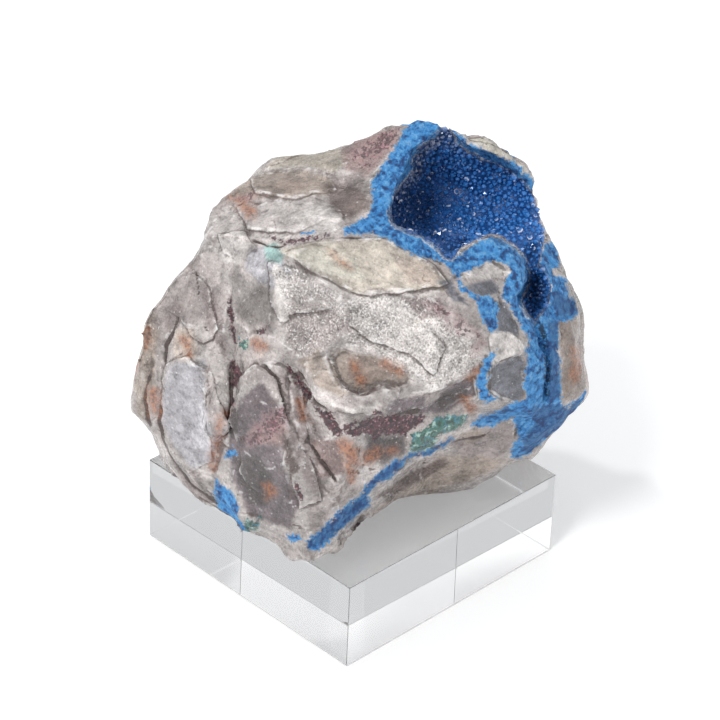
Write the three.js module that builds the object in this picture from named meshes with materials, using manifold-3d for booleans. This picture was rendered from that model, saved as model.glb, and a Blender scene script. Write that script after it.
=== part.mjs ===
// Shattuckite specimen: a broken lump of quartz with a blue shattuckite lining in its hollow,
// set on a clear acrylic display block. Millimetres, +Z up.
// The origin is the middle of the block's underside, and the block's sides lie along X and Y.
import * as THREE from 'three';
import { mergeVertices } from 'three/addons/utils/BufferGeometryUtils.js';
import Module from 'manifold-3d';

const wasm = await Module();
wasm.setup();

// Driving dimensions
const blockSide = 50;
const blockHeight = 16;
const blockChamfer = 0.4;
const pieceGap = 0.3;
const crustGap = 0.35;
const crustRoomBelow = 0.6;
const largestFacet = 5.4;
const dentSpacing = 7;
const dentDepth = 0.5;
const dentSpacingBehind = 15;
const dentDepthBehind = 1.6;
const crystalRadius = 1.45;
const crystalHeight = 2.5;
const crystalSpacing = 2.2;
const crystalCount = 72;

// The photograph is the drawing that the stone is measured from. It is a square of 720 pixels, seen
// from the front corner of the block, and its sight line is given in the block's own frame.
const photoMiddle = 360;
const focalPixels = 2900;
const eye = new THREE.Vector3(292.1, -298.2, 298.5);
const sightAzimuth = THREE.MathUtils.degToRad(44.35);
const sightElevation = THREE.MathUtils.degToRad(31.97);
const sightRoll = THREE.MathUtils.degToRad(2.52);

// Depth is counted toward the viewer from an upright plane through the middle of the stone
const stoneMiddle = new THREE.Vector3(0, 0, blockHeight + 29.5);

const towardViewer = new THREE.Vector3(
  Math.sin(sightAzimuth) * Math.cos(sightElevation),
  -Math.cos(sightAzimuth) * Math.cos(sightElevation),
  Math.sin(sightElevation),
);
const levelRight = new THREE.Vector3(Math.cos(sightAzimuth), Math.sin(sightAzimuth), 0);
const levelUp = new THREE.Vector3().crossVectors(towardViewer, levelRight);
const photoRight = levelRight.clone().multiplyScalar(Math.cos(sightRoll))
  .addScaledVector(levelUp, Math.sin(sightRoll));
const photoUp = levelUp.clone().multiplyScalar(Math.cos(sightRoll))
  .addScaledVector(levelRight, -Math.sin(sightRoll));
const middleDistance = new THREE.Vector3().subVectors(eye, stoneMiddle).dot(towardViewer);

// The point seen at pixel (x, y), toward the viewer by so many millimetres
function seenAt([x, y, toward]) {
  const distance = middleDistance - toward;
  return eye.clone()
    .addScaledVector(towardViewer, -distance)
    .addScaledVector(photoRight, (x - photoMiddle) * distance / focalPixels)
    .addScaledVector(photoUp, (photoMiddle - y) * distance / focalPixels);
}

// The pixel and the depth at which a point of the block's frame is seen
function pixelOf(point) {
  const sight = new THREE.Vector3().subVectors(point, eye);
  const distance = -sight.dot(towardViewer);
  return [
    photoMiddle + sight.dot(photoRight) * focalPixels / distance,
    photoMiddle - sight.dot(photoUp) * focalPixels / distance,
    middleDistance - distance,
  ];
}

// A point of the stone's hidden side: across the view, toward the viewer, and above the block's top
const floorToward = new THREE.Vector3(Math.sin(sightAzimuth), -Math.cos(sightAzimuth), 0);
function hiddenAt([across, toward, height]) {
  return levelRight.clone().multiplyScalar(across)
    .addScaledVector(floorToward, toward)
    .add(new THREE.Vector3(0, 0, blockHeight + height));
}

// Outline of the stone as photographed, clockwise from its left end: pixel x, pixel y, depth
const outline = [
  [132, 392, 0], [132, 405, 0], [138, 421, -0.5], [149, 431, -0.5], [152, 442, -1.5], [157, 456, -3],
  [163, 465, -3], [172, 476, -3], [181, 487, -2], [191, 499, -0.5], [203, 508, 1.5], [214, 516, 3.5],
  [228, 522, 4.5], [240, 534, 6], [253, 539, 7], [264, 541, 7.8], [279, 550, 9.4], [281, 556, 10],
  [293, 563, 11], [300, 560, 11.4], [313, 562, 11], [325, 556, 10.5], [337, 556, 9.8], [347, 551, 8.5],
  [354, 541, 6.5], [366, 526, 3], [376, 517, -0.5], [383, 511, -3.5], [396, 500, -6.5], [415, 496, -8],
  [436, 494, -8.6], [454, 493, -9], [473, 491, -9.5], [490, 480, -10.5], [502, 473, -11.5], [516, 464, -12],
  [530, 459, -9], [540, 452, -6], [549, 442, -4], [562, 435, -3.5], [572, 421, -2], [580, 410, -1],
  [588, 403, 0], [593, 392, 0.5], [592, 380, 1], [585, 360, 1], [583, 338, 1], [584, 330, 0.5],
  [582, 304, 1], [577, 285, 1.5], [567, 269, 2], [564, 261, 2], [557, 252, 1.5], [556, 245, 1.5],
  [547, 234, 1.5], [542, 220, 1], [536, 209, 1], [536, 199, 1], [533, 189, 2], [535, 180, 2.5],
  [530, 172, 3], [526, 161, 4], [518, 154, 5], [504, 147, 6.5], [498, 138, 7.5], [492, 133, 8],
  [475, 134, 8.5], [458, 133, 9.5], [447, 128, 10.5], [446, 121, 11], [433, 121, 10.5], [417, 121, 9.5],
  [404, 124, 8.5], [389, 127, 8], [371, 136, 7], [353, 143, 5.5], [334, 147, 4.5], [313, 150, 3],
  [300, 147, 2], [282, 152, 2], [267, 160, 2.5], [250, 171, 3.5], [243, 179, 4.5], [232, 187, 5.5],
  [229, 195, 6], [219, 202, 7], [210, 213, 8], [200, 235, 9.5], [197, 248, 9.5], [193, 256, 9],
  [180, 267, 8], [166, 283, 7], [155, 301, 7], [144, 320, 7], [138, 334, 6], [140, 348, 5],
  [135, 360, 4], [135, 373, 2],
];

// Crests, ledges and cracks of the side that is photographed, in the same three numbers
const crests = {
  mainCrest: [
    [222, 238, 12.5], [250, 240, 17], [272, 247, 20.5], [300, 239, 22], [340, 233, 22.5],
    [400, 240, 22.5], [440, 257, 22], [462, 290, 23.5], [478, 318, 23.5], [491, 338, 23],
  ],
  foldUnderCrest: [
    [284, 256, 22.5], [322, 276, 24.5], [350, 291, 26], [378, 299, 25.7], [410, 295, 25.2], [442, 300, 24.6],
  ],
  leftShoulder: [
    [205, 262, 11], [228, 262, 15], [226, 285, 15.5], [214, 283, 13.5], [200, 272, 11.5],
  ],
  shoulderEdge: [[272, 247, 20.5], [268, 275, 20.7], [275, 300, 21.8], [268, 322, 20]],
  whiteStep: [[276, 300, 22.3], [290, 310, 23.2], [312, 304, 24.2], [332, 306, 24.6]],
  facetLeftEdge: [[288, 330, 21.8], [300, 350, 22]],
  frontLip: [
    [286, 356, 21.5], [300, 374, 23.2], [314, 392, 24.6], [334, 404, 25.8], [352, 412, 26], [368, 402, 25.4],
    [392, 388, 24.2], [412, 390, 22.8], [436, 384, 21.6],
  ],
  redVein: [
    [288, 370, 20], [302, 392, 20.8], [322, 416, 22], [341, 438, 22.6], [358, 424, 21.8], [376, 414, 21.2],
    [400, 417, 19.5], [424, 414, 17.6], [442, 404, 16.8],
  ],
  leftCrack: [
    [230, 300, 14.5], [237, 322, 14], [238, 346, 13.8], [229, 372, 12.8], [233, 400, 13], [227, 430, 11.5],
    [216, 466, 6.8],
  ],
  crackLeftLip: [[214, 320, 14], [208, 364, 14], [216, 392, 15.2], [226, 414, 15.6], [212, 440, 12.5]],
  crackRightLip: [[244, 300, 17.2], [250, 330, 17.6], [247, 372, 18], [243, 400, 17.4], [240, 440, 15.6]],
  sparkleFacetEdge: [
    [178, 362, 9], [170, 376, 7.5], [160, 412, 4.5], [170, 440, 3], [186, 466, 2.5], [208, 466, 6],
  ],
  frontColumn: [[262, 378, 21], [276, 392, 22.2], [289, 420, 23.2], [296, 448, 22.6], [288, 480, 19.6]],
  columnCrack: [[300, 400, 20.2], [306, 430, 20.6], [314, 452, 20.2], [330, 478, 19]],
  blueVein: [
    [315, 546, 14.5], [332, 532, 13.4], [350, 514, 12.4], [368, 496, 12], [390, 474, 12.6], [410, 459, 13],
    [428, 449, 12.8],
  ],
  lowerBlueEdge: [[214, 478, 4], [220, 500, 5.2], [232, 518, 6.6]],
  slateEdge: [[250, 505, 11.5], [272, 515, 13], [290, 520, 14.4]],
  fingerEdge: [
    [450, 263, 21.2], [462, 250, 19.2], [482, 239, 17], [498, 240, 16.6], [514, 250, 16], [524, 265, 16],
    [526, 280, 16.4], [514, 297, 18.8],
  ],
  paleSlab: [[492, 336, 23.2], [508, 331, 20.4], [527, 347, 17], [520, 353, 16.8], [495, 365, 20.6]],
  slateFacet: [[524, 380, 15], [522, 398, 12.6], [506, 402, 13], [488, 392, 16], [484, 374, 18.4]],
  mainBand: [[534, 330, 16], [535, 352, 15.8], [534, 374, 14.4], [532, 398, 11.6], [524, 424, 6.6]],
  bandGroove: [[543, 326, 12.2], [545, 346, 11.6], [545, 368, 11.4], [544, 392, 9.4]],
  rightBand: [[553, 330, 11.8], [554, 352, 11.6], [555, 376, 10.8], [556, 400, 8.4], [548, 424, 3.6]],
  rightWallCrest: [
    [560, 262, 5.6], [566, 290, 7], [568, 312, 6.8], [570, 336, 5.8], [578, 366, 5], [576, 396, 3.6],
  ],
  lowerRightEdge: [[452, 424, 12.4], [474, 414, 12.6], [500, 410, 11.2], [516, 416, 9.6]],
};

// Single points of the photographed side, between the crests
const facetPoints = [
  [158, 330, 6.2], [176, 300, 8.4], [196, 300, 10.8], [186, 334, 9.4], [162, 360, 5.6], [150, 385, 3.4],
  [148, 410, 1.8], [197, 352, 12], [190, 400, 10.8], [196, 430, 9.6], [200, 486, 2.4], [206, 340, 12.2],
  [232, 212, 10.6], [262, 190, 8.6], [290, 190, 11.4], [330, 192, 12.2], [250, 216, 12.6], [290, 215, 16],
  [335, 212, 17], [365, 205, 16], [284, 170, 6], [320, 168, 7.6], [352, 162, 9.4], [382, 150, 10.4],
  [376, 180, 14], [402, 138, 11], [250, 262, 18], [246, 282, 17.4], [262, 344, 19.6], [276, 362, 21],
  [258, 356, 19.2], [304, 276, 23.6], [330, 330, 24.8], [370, 330, 25.6], [420, 330, 25], [460, 330, 24],
  [340, 370, 25.4], [380, 362, 25], [430, 360, 24], [470, 360, 22], [458, 384, 18.6], [446, 300, 24.6],
  [266, 404, 21.4], [262, 430, 20], [252, 456, 15.6], [262, 480, 14.2], [240, 486, 9], [246, 520, 8.6],
  [270, 530, 11.6], [300, 536, 14.6], [312, 500, 17.4], [330, 505, 15.4], [306, 470, 20.6], [330, 452, 22],
  [346, 474, 18.6], [364, 448, 20.2], [352, 456, 21], [384, 440, 17.8], [376, 468, 14.6], [412, 436, 15],
  [438, 430, 13.4], [466, 400, 15], [484, 400, 14.4], [450, 446, 5.6], [478, 440, 3.2], [506, 436, 2],
  [470, 464, -3], [440, 472, -3.6], [414, 476, -2], [500, 456, -4.6], [392, 490, -0.5], [372, 506, 5],
  [356, 526, 9.4], [524, 444, -1], [540, 436, 0.4], [562, 418, 1], [574, 350, 4.4], [486, 320, 22.8],
  [472, 282, 21.4], [490, 262, 19.6], [508, 266, 18.4], [500, 288, 19.6], [512, 314, 18.6],
  [470, 152, 10.4], [500, 166, 8], [520, 186, 5.6], [440, 160, 13], [440, 200, 17], [476, 200, 14],
  [508, 214, 9.6], [532, 232, 6], [410, 200, 16.4], [416, 165, 13],
];

// The hidden side, chosen as a broken surface like the one in front
const hiddenPoints = [
  [-20, -10, -1], [-17, 6, -1], [-7, 18, -1], [6, 18, -1], [18, 8, -1], [24, -3, -1], [17, -15, -1],
  [2, -20, -1], [-11, -17, -1], [0, 0, -1], [-29, -4, 6], [-25, -19, 9], [-6, -29, 6], [13, -28, 8],
  [28, -18, 7], [-34, -6, 17], [-28, -20, 21], [-13, -32, 19], [5, -35, 20], [21, -30, 18], [34, -15, 20],
  [-30, -13, 31], [-21, -25, 35], [-6, -35, 33], [8, -37, 34], [26, -28, 33], [33, -13, 33],
  [-12, -27, 43], [0, -29, 44], [11, -31, 46], [21, -30, 42], [-8, 27, 2], [-16, 17, 2.5], [2, 27, 1.5],
];

// Just behind the outline the stone's edge is rounded off: two rings, so many pixels inside it and so
// many millimetres deeper, first on the stone's free edge and then where it turns under to the block
const edgeRings = [
  { inside: 10, deeper: 9.5, deeperBelow: 2.6 },
  { inside: 26, deeper: 18, deeperBelow: 7 },
];
const ringSpacing = 24;
const freeAbove = 430;
const underBelow = 510;

// The hollow, inside its blue lining: rim (where its wall starts) and floor, in the same three numbers
const hollowRim = [
  [441, 120, 10], [449, 130, 8.6], [457, 139, 6], [467, 147, 4.4], [480, 151, 3.4], [493, 155, 3],
  [504, 161, 2.8], [513, 169, 2.8], [521, 176, 3], [540, 182, 3], [544, 192, 2.4], [547, 204, 1.4],
  [551, 218, 1.4], [550, 230, 4], [542, 240, 6.5], [538, 251, 7.5], [540, 259, 7.5], [538, 265, 7],
  [543, 273, 7], [549, 284, 7], [550, 297, 7.5], [542, 311, 8.5], [537, 321, 11], [532, 321, 11],
  [526, 313, 9], [519, 303, 7.5], [512, 298, 8], [521, 290, 6], [527, 278, 5.5], [525, 265, 6],
  [518, 252, 6], [507, 243, 5.5], [494, 238, 5.5], [480, 237, 6], [468, 243, 7], [458, 252, 10],
  [448, 261, 14], [441, 251, 12], [430, 241, 8], [416, 235, 5.5], [403, 231, 4.5], [393, 225, 4.5],
  [389, 215, 4.5], [390, 203, 4], [395, 191, 4], [402, 178, 4], [408, 166, 4.5], [412, 152, 5],
  [425, 141, 6.5], [437, 133, 8.6],
];
const hollowFloor = [
  [404, 205, -1.5], [420, 180, -2], [428, 158, 0], [442, 142, 5], [412, 222, 0], [432, 205, -5],
  [446, 180, -5.5], [456, 158, 0], [470, 168, -2.5], [488, 168, -1.5], [470, 195, -7], [492, 195, -5.5],
  [508, 182, -1.5], [524, 194, 0], [514, 208, -2], [532, 212, 0.6], [470, 218, -4], [498, 220, -1.5],
  [520, 228, 2], [432, 228, -1], [437, 240, 8], [444, 233, 9], [456, 233, 9.5], [464, 240, 9],
  [450, 246, 11.5], [478, 230, 0.5], [500, 232, 2.5], [533, 244, 5], [532, 262, 4], [538, 280, 3],
  [533, 296, 2.6], [536, 310, 5.5],
];

// The outer edge of the blue lining, where it meets the quartz
const liningRim = [
  [404, 120, 7.2], [424, 114, 8], [446, 112, 8.6], [456, 126, 7.4], [470, 139, 3.6], [484, 144, 2],
  [498, 148, 1.6], [510, 154, 1.4], [520, 163, 1.4], [528, 170, 1.6], [546, 172, 2], [552, 190, 1.4],
  [555, 204, 0.6], [560, 220, 0.6], [570, 238, 1.2], [566, 262, 3], [571, 282, 3.4], [575, 300, 3.6],
  [574, 316, 4], [563, 329, 5.5], [556, 343, 6.5], [545, 349, 7], [534, 345, 8], [522, 333, 8],
  [510, 318, 8], [499, 303, 8], [497, 290, 6], [503, 280, 5], [509, 270, 4.5], [503, 262, 4], [490, 258, 3.5],
  [476, 266, 4], [463, 272, 6], [457, 279, 10], [448, 273, 12], [438, 263, 9], [421, 253, 5],
  [400, 245, 2], [382, 237, 1.5], [370, 228, 1.5], [364, 217, 1.5], [370, 205, 1.5], [373, 187, 1.5],
  [376, 172, 1.5], [388, 161, 1.5], [394, 152, 2], [398, 140, 3],
];
const liningDepth = 2.6;
const thinLiningDepth = 0.9;

// A repeatable random number from 0 to 1: each one follows from the last by a multiply and an add
function randomSource(seed) {
  const multiplier = 1664525;
  const increment = 1013904223;
  const modulus = 2 ** 32;
  let state = seed;
  return () => {
    state = (state * multiplier + increment) % modulus;
    return state / modulus;
  };
}

// A repeatable number from -1 to 1 for each corner of a lattice of unit cells
function cornerValue(x, y, z) {
  const [perX, perY, perZ] = [127.1, 311.7, 74.7];
  const scramble = 43758.5453;
  const wave = Math.sin(x * perX + y * perY + z * perZ) * scramble;
  return 2 * (wave - Math.floor(wave)) - 1;
}

// Smooth noise from -1 to 1 between those corners
function noise(point) {
  const cell = [Math.floor(point.x), Math.floor(point.y), Math.floor(point.z)];
  const part = [point.x - cell[0], point.y - cell[1], point.z - cell[2]];
  const ease = part.map((value) => value * value * (3 - 2 * value));
  let total = 0;
  for (let corner = 0; corner < 8; corner += 1) {
    const step = [corner & 1, (corner >> 1) & 1, (corner >> 2) & 1];
    const weight = step.reduce((product, side, axis) => product * (side ? ease[axis] : 1 - ease[axis]), 1);
    total += weight * cornerValue(cell[0] + step[0], cell[1] + step[1], cell[2] + step[2]);
  }
  return total;
}

// Points added along a line of pixels, so that no two neighbours are further apart than the spacing
function thickened(line, spacing, closed) {
  const result = [];
  const last = closed ? line.length : line.length - 1;
  for (let index = 0; index < last; index += 1) {
    const start = line[index];
    const end = line[(index + 1) % line.length];
    const pieces = Math.max(1, Math.ceil(Math.hypot(end[0] - start[0], end[1] - start[1]) / spacing));
    for (let step = 0; step < pieces; step += 1) {
      result.push(start.map((value, axis) => value + (end[axis] - value) * step / pieces));
    }
  }
  if (!closed) result.push(line[line.length - 1]);
  return result;
}

function insideLoop([x, y], loop) {
  let inside = false;
  for (let index = 0, before = loop.length - 1; index < loop.length; before = index, index += 1) {
    const [x1, y1] = loop[index];
    const [x2, y2] = loop[before];
    if ((y1 > y) !== (y2 > y) && x < (x2 - x1) * (y - y1) / (y2 - y1) + x1) inside = !inside;
  }
  return inside;
}

function nearestDistance([x, y], others) {
  return others.reduce((best, other) => Math.min(best, Math.hypot(x - other[0], y - other[1])), Infinity);
}

// The first points of a list that keep their distance from one another and from the loop
function spaced(points, loop, distance) {
  const kept = [];
  for (const point of points) {
    const clear = insideLoop(point, loop) && nearestDistance(point, loop) > distance;
    if (clear && nearestDistance(point, kept) > distance) kept.push(point);
  }
  return kept;
}

// The circle through three points in the picture plane
function circleThrough(a, b, c) {
  const twiceArea = 2 * ((b[0] - a[0]) * (c[1] - a[1]) - (b[1] - a[1]) * (c[0] - a[0]));
  const lengthB = (b[0] - a[0]) ** 2 + (b[1] - a[1]) ** 2;
  const lengthC = (c[0] - a[0]) ** 2 + (c[1] - a[1]) ** 2;
  const x = ((c[1] - a[1]) * lengthB - (b[1] - a[1]) * lengthC) / twiceArea;
  const y = ((b[0] - a[0]) * lengthC - (c[0] - a[0]) * lengthB) / twiceArea;
  return { x: a[0] + x, y: a[1] + y, squared: x * x + y * y };
}

// Delaunay triangles of points in the picture plane, kept where they lie inside the loop
function trianglesInside(points, loop) {
  const far = 1e5;
  const all = [...points, [-far, -far], [far, -far], [0, far]];
  const count = points.length;
  let faces = [{ corners: [count, count + 1, count + 2], circle: circleThrough(...all.slice(count)) }];
  for (let index = 0; index < count; index += 1) {
    const [x, y] = all[index];
    const edges = new Map();
    const kept = [];
    for (const face of faces) {
      const { circle, corners } = face;
      if ((x - circle.x) ** 2 + (y - circle.y) ** 2 > circle.squared) {
        kept.push(face);
        continue;
      }
      for (let side = 0; side < 3; side += 1) {
        const from = corners[side];
        const to = corners[(side + 1) % 3];
        if (!edges.delete(`${to},${from}`)) edges.set(`${from},${to}`, [from, to]);
      }
    }
    for (const [from, to] of edges.values()) {
      kept.push({ corners: [from, to, index], circle: circleThrough(all[from], all[to], all[index]) });
    }
    faces = kept;
  }
  return faces.map((face) => face.corners).filter((corners) => {
    if (corners.some((corner) => corner >= count)) return false;
    const middle = [0, 1].map((axis) => corners.reduce((sum, corner) => sum + all[corner][axis] / 3, 0));
    return insideLoop(middle, loop);
  });
}

function geometryOf(positions, faces) {
  const geometry = new THREE.BufferGeometry();
  geometry.setAttribute('position', new THREE.Float32BufferAttribute(positions.flatMap((p) => p.toArray()), 3));
  geometry.setIndex(faces.flat());
  return geometry;
}

// A solid for joining and cutting, and back
function solidOf(geometry) {
  const weldDistance = 1e-4;
  const bare = geometry.clone();
  for (const name of Object.keys(bare.attributes)) {
    if (name !== 'position') bare.deleteAttribute(name);
  }
  const merged = mergeVertices(bare, weldDistance);
  return new wasm.Manifold(new wasm.Mesh({
    numProp: 3,
    vertProperties: new Float32Array(merged.attributes.position.array),
    triVerts: new Uint32Array(merged.index.array),
  }));
}
function geometryFrom(solid) {
  const mesh = solid.getMesh();
  const geometry = new THREE.BufferGeometry();
  geometry.setAttribute('position', new THREE.Float32BufferAttribute(mesh.vertProperties, 3));
  geometry.setIndex(Array.from(mesh.triVerts));
  return geometry.toNonIndexed();
}

// Every edge longer than the limit is halved, again and again, with both its faces following
function refined(positions, faces, limit) {
  const points = positions.slice();
  let current = faces;
  for (;;) {
    const middles = new Map();
    const middleOf = (from, to) => {
      const key = from < to ? `${from},${to}` : `${to},${from}`;
      if (middles.has(key)) return middles.get(key);
      const long = points[from].distanceTo(points[to]) > limit;
      if (long) points.push(points[from].clone().lerp(points[to], 0.5));
      middles.set(key, long ? points.length - 1 : -1);
      return middles.get(key);
    };
    const next = [];
    let halved = false;
    for (const corners of current) {
      const cuts = corners.map((corner, side) => middleOf(corner, corners[(side + 1) % 3]));
      const number = cuts.filter((cut) => cut >= 0).length;
      if (number === 0) next.push(corners);
      if (number > 0) halved = true;
      if (number === 3) {
        next.push([corners[0], cuts[0], cuts[2]], [corners[1], cuts[1], cuts[0]]);
        next.push([corners[2], cuts[2], cuts[1]], cuts);
      }
      if (number === 1) {
        const side = cuts.findIndex((cut) => cut >= 0);
        const [a, b, c] = [0, 1, 2].map((turn) => corners[(side + turn) % 3]);
        next.push([a, cuts[side], c], [cuts[side], b, c]);
      }
      if (number === 2) {
        const whole = cuts.findIndex((cut) => cut < 0);
        const [a, b, c] = [0, 1, 2].map((turn) => corners[(whole + turn) % 3]);
        const cutB = cuts[(whole + 1) % 3];
        const cutC = cuts[(whole + 2) % 3];
        next.push([a, b, cutB], [a, cutB, cutC], [cutB, c, cutC]);
      }
    }
    current = next;
    if (!halved) return { points, faces: current };
  }
}

// The direction in which the surface faces at each of its points
function directions(points, faces) {
  const geometry = geometryOf(points, faces);
  geometry.computeVertexNormals();
  return points.map((_, index) => new THREE.Vector3().fromBufferAttribute(geometry.attributes.normal, index));
}

// The hidden side drawn toward the middle of its neighbours, so that it has no long thin folds
function relaxedBehind(points, faces) {
  const rounds = 5;
  const pull = 0.5;
  const turnedAway = -0.3;
  const behind = directions(points, faces).map((direction) => direction.dot(towardViewer) < turnedAway);
  let current = points;
  for (let round = 0; round < rounds; round += 1) {
    const sums = current.map(() => new THREE.Vector4(0, 0, 0, 0));
    for (const corners of faces) {
      corners.forEach((corner, side) => {
        const next = current[corners[(side + 1) % 3]];
        sums[corner].add(new THREE.Vector4(next.x, next.y, next.z, 1));
      });
    }
    current = current.map((point, index) => {
      if (!behind[index]) return point;
      const sum = sums[index];
      return point.clone().lerp(new THREE.Vector3(sum.x, sum.y, sum.z).divideScalar(sum.w), pull);
    });
  }
  return current;
}

// Dents and swells of two sizes at a point, from about -1.6 to 1.6
function dents(point, spacing) {
  const finer = 0.42;
  const shallower = 0.6;
  const coarse = noise(point.clone().divideScalar(spacing));
  return coarse + shallower * noise(point.clone().divideScalar(spacing * finer));
}

// The surface pushed in and out along its own direction, more boldly on the hidden side
function roughened(points, faces) {
  const fullyBehind = 0.5;
  const facing = directions(points, faces);
  return points.map((point, index) => {
    const behind = THREE.MathUtils.smoothstep(-facing[index].dot(towardViewer), 0, fullyBehind);
    const seen = dentDepth * dents(point, dentSpacing);
    const hidden = dentDepthBehind * dents(point, dentSpacingBehind);
    return point.clone().addScaledVector(facing[index], THREE.MathUtils.lerp(seen, hidden, behind));
  });
}

function blockGeometry() {
  const half = blockSide / 2 - blockChamfer;
  const square = new THREE.Shape([
    new THREE.Vector2(-half, -half), new THREE.Vector2(half, -half),
    new THREE.Vector2(half, half), new THREE.Vector2(-half, half),
  ]);
  const geometry = new THREE.ExtrudeGeometry(square, {
    depth: blockHeight - 2 * blockChamfer,
    bevelEnabled: true,
    bevelThickness: blockChamfer,
    bevelSize: blockChamfer,
    bevelSegments: 1,
    steps: 1,
  });
  return geometry.translate(0, 0, blockChamfer);
}

// A ring of hidden points that follows the outline inside it
function ringInside({ inside, deeper, deeperBelow }) {
  return grownLoop(thickened(outline, ringSpacing, true), -inside).map(([x, y, toward]) => {
    const under = THREE.MathUtils.smoothstep(y, freeAbove, underBelow);
    return [x, y, toward - THREE.MathUtils.lerp(deeper, deeperBelow, under)];
  });
}

// The whole stone before its hollow: a front and a hidden side that share the photographed outline
function wholeStone() {
  const outlineSpacing = 13;
  const crestSpacing = 16;
  const frontSpacing = 7;
  const edge = thickened(outline, outlineSpacing, true);
  const crestPoints = Object.values(crests).flatMap((line) => thickened(line, crestSpacing, false));
  const front = spaced([...crestPoints, ...facetPoints], edge, frontSpacing);
  const hiddenPixels = hiddenPoints.map((point) => pixelOf(hiddenAt(point)));
  const hidden = spaced([...hiddenPixels, ...edgeRings.flatMap(ringInside)], edge, frontSpacing);
  const frontFaces = trianglesInside([...edge, ...front], edge);
  const hiddenFaces = trianglesInside([...edge, ...hidden], edge);
  const hiddenStart = edge.length + front.length;
  const hiddenIndex = (corner) => (corner < edge.length ? corner : corner - edge.length + hiddenStart);
  const points = [...edge, ...front, ...hidden].map(seenAt);
  const turned = hiddenFaces.map(([a, b, c]) => [a, c, b].map(hiddenIndex));
  const fine = refined(points, outward([...frontFaces, ...turned], points), largestFacet);
  const rough = roughened(relaxedBehind(fine.points, fine.faces), fine.faces);
  const cutSide = 200;
  const cutDepth = 50;
  const flatCut = new THREE.BoxGeometry(cutSide, cutSide, cutDepth);
  flatCut.translate(0, 0, blockHeight + pieceGap - cutDepth / 2);
  return solidOf(geometryOf(rough, fine.faces)).subtract(solidOf(flatCut));
}

// Faces turned so that they point out of the solid that they close
function outward(faces, points) {
  const volume = faces.reduce((sum, [a, b, c]) => {
    return sum + points[a].dot(new THREE.Vector3().crossVectors(points[b], points[c]));
  }, 0);
  return volume > 0 ? faces : faces.map(([a, b, c]) => [a, c, b]);
}

// A pit that is open toward the viewer: straight walls down from the rim, and a floor of facets.
// It may be made wider and deeper all over, to leave room around what lies in it.
function pit(rim, floor, widerPixels, deeper) {
  const openSide = 60;
  const rimSpacing = 15;
  const floorSpacing = 5;
  const edge = thickened(rim, rimSpacing, true);
  const inner = spaced(floor, edge, floorSpacing);
  const bottom = [...edge, ...inner];
  const faces = trianglesInside(bottom, edge);
  const wider = [...grownLoop(edge, widerPixels), ...inner];
  const moved = wider.map(([x, y, toward]) => [x, y, toward - deeper]);
  const points = [
    ...moved.map(seenAt),
    ...moved.map(([x, y]) => seenAt([x, y, openSide])),
  ];
  const count = bottom.length;
  const lid = faces.map(([a, b, c]) => [a + count, c + count, b + count]);
  const walls = edge.flatMap((_, index) => {
    const next = (index + 1) % edge.length;
    return [[index, next, next + count], [index, next + count, index + count]];
  });
  const sideFaces = matchedWalls(faces, walls);
  return {
    solid: solidOf(geometryOf(points, outward([...faces, ...lid, ...sideFaces], points))),
    floorFaces: faces.map((corners) => corners.map((corner) => points[corner])),
  };
}

// Walls whose direction agrees with the floor that they stand on
function matchedWalls(faces, walls) {
  const directed = new Set(faces.flatMap(([a, b, c]) => [`${a},${b}`, `${b},${c}`, `${c},${a}`]));
  const [from, to] = walls[0];
  return directed.has(`${from},${to}`) ? walls.map(([a, b, c]) => [a, c, b]) : walls;
}

// A loop moved outward in the picture plane by so many pixels
function grownLoop(loop, pixels) {
  const turn = loop.reduce((sum, [x, y], index) => {
    const [nextX, nextY] = loop[(index + 1) % loop.length];
    return sum + x * nextY - nextX * y;
  }, 0) > 0 ? 1 : -1;
  return loop.map(([x, y, toward], index) => {
    const before = loop[(index + loop.length - 1) % loop.length];
    const after = loop[(index + 1) % loop.length];
    const along = new THREE.Vector2(after[0] - before[0], after[1] - before[1]).normalize();
    return [x + along.y * pixels * turn, y - along.x * pixels * turn, toward];
  });
}

// Six-sided quartz points standing on the hollow's floor, where it is open to the viewer
function crystals(floorFaces) {
  const seed = 11;
  const random = randomSource(seed);
  const steepest = 0.3;
  const smallest = 0.75;
  const sizeRange = 0.5;
  const leanRange = 0.6;
  const sixth = Math.PI / 3;
  const faces = floorFaces.map(([a, b, c]) => {
    const cross = new THREE.Vector3().crossVectors(b.clone().sub(a), c.clone().sub(a));
    const direction = cross.clone().normalize();
    if (direction.dot(towardViewer) < 0) direction.negate();
    return { a, b, c, area: cross.length() / 2, direction };
  }).filter((face) => face.direction.dot(towardViewer) > steepest);
  const totalArea = faces.reduce((sum, face) => sum + face.area, 0);
  const tries = 12;
  const feet = [];
  let joined = null;
  let due = 0;
  for (const face of faces) {
    due += tries * crystalCount * face.area / totalArea;
    for (; due >= 1; due -= 1) {
      const foot = pointOn(face, random);
      const size = smallest + sizeRange * random();
      const lean = new THREE.Vector3(random() - 0.5, random() - 0.5, random() - 0.5).multiplyScalar(leanRange);
      const turn = random() * sixth;
      if (feet.length < crystalCount && feet.every((other) => other.distanceTo(foot) > crystalSpacing)) {
        feet.push(foot);
        const crystal = crystalAt(foot, face.direction.clone().add(lean).normalize(), size, turn);
        joined = joined ? joined.add(crystal) : crystal;
      }
    }
  }
  return joined;
}

// A random point of a triangle
function pointOn({ a, b, c }, random) {
  const [first, second] = [random(), random()];
  const folded = first + second > 1;
  const along = folded ? 1 - first : first;
  const across = folded ? 1 - second : second;
  return a.clone().addScaledVector(b.clone().sub(a), along).addScaledVector(c.clone().sub(a), across);
}

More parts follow.
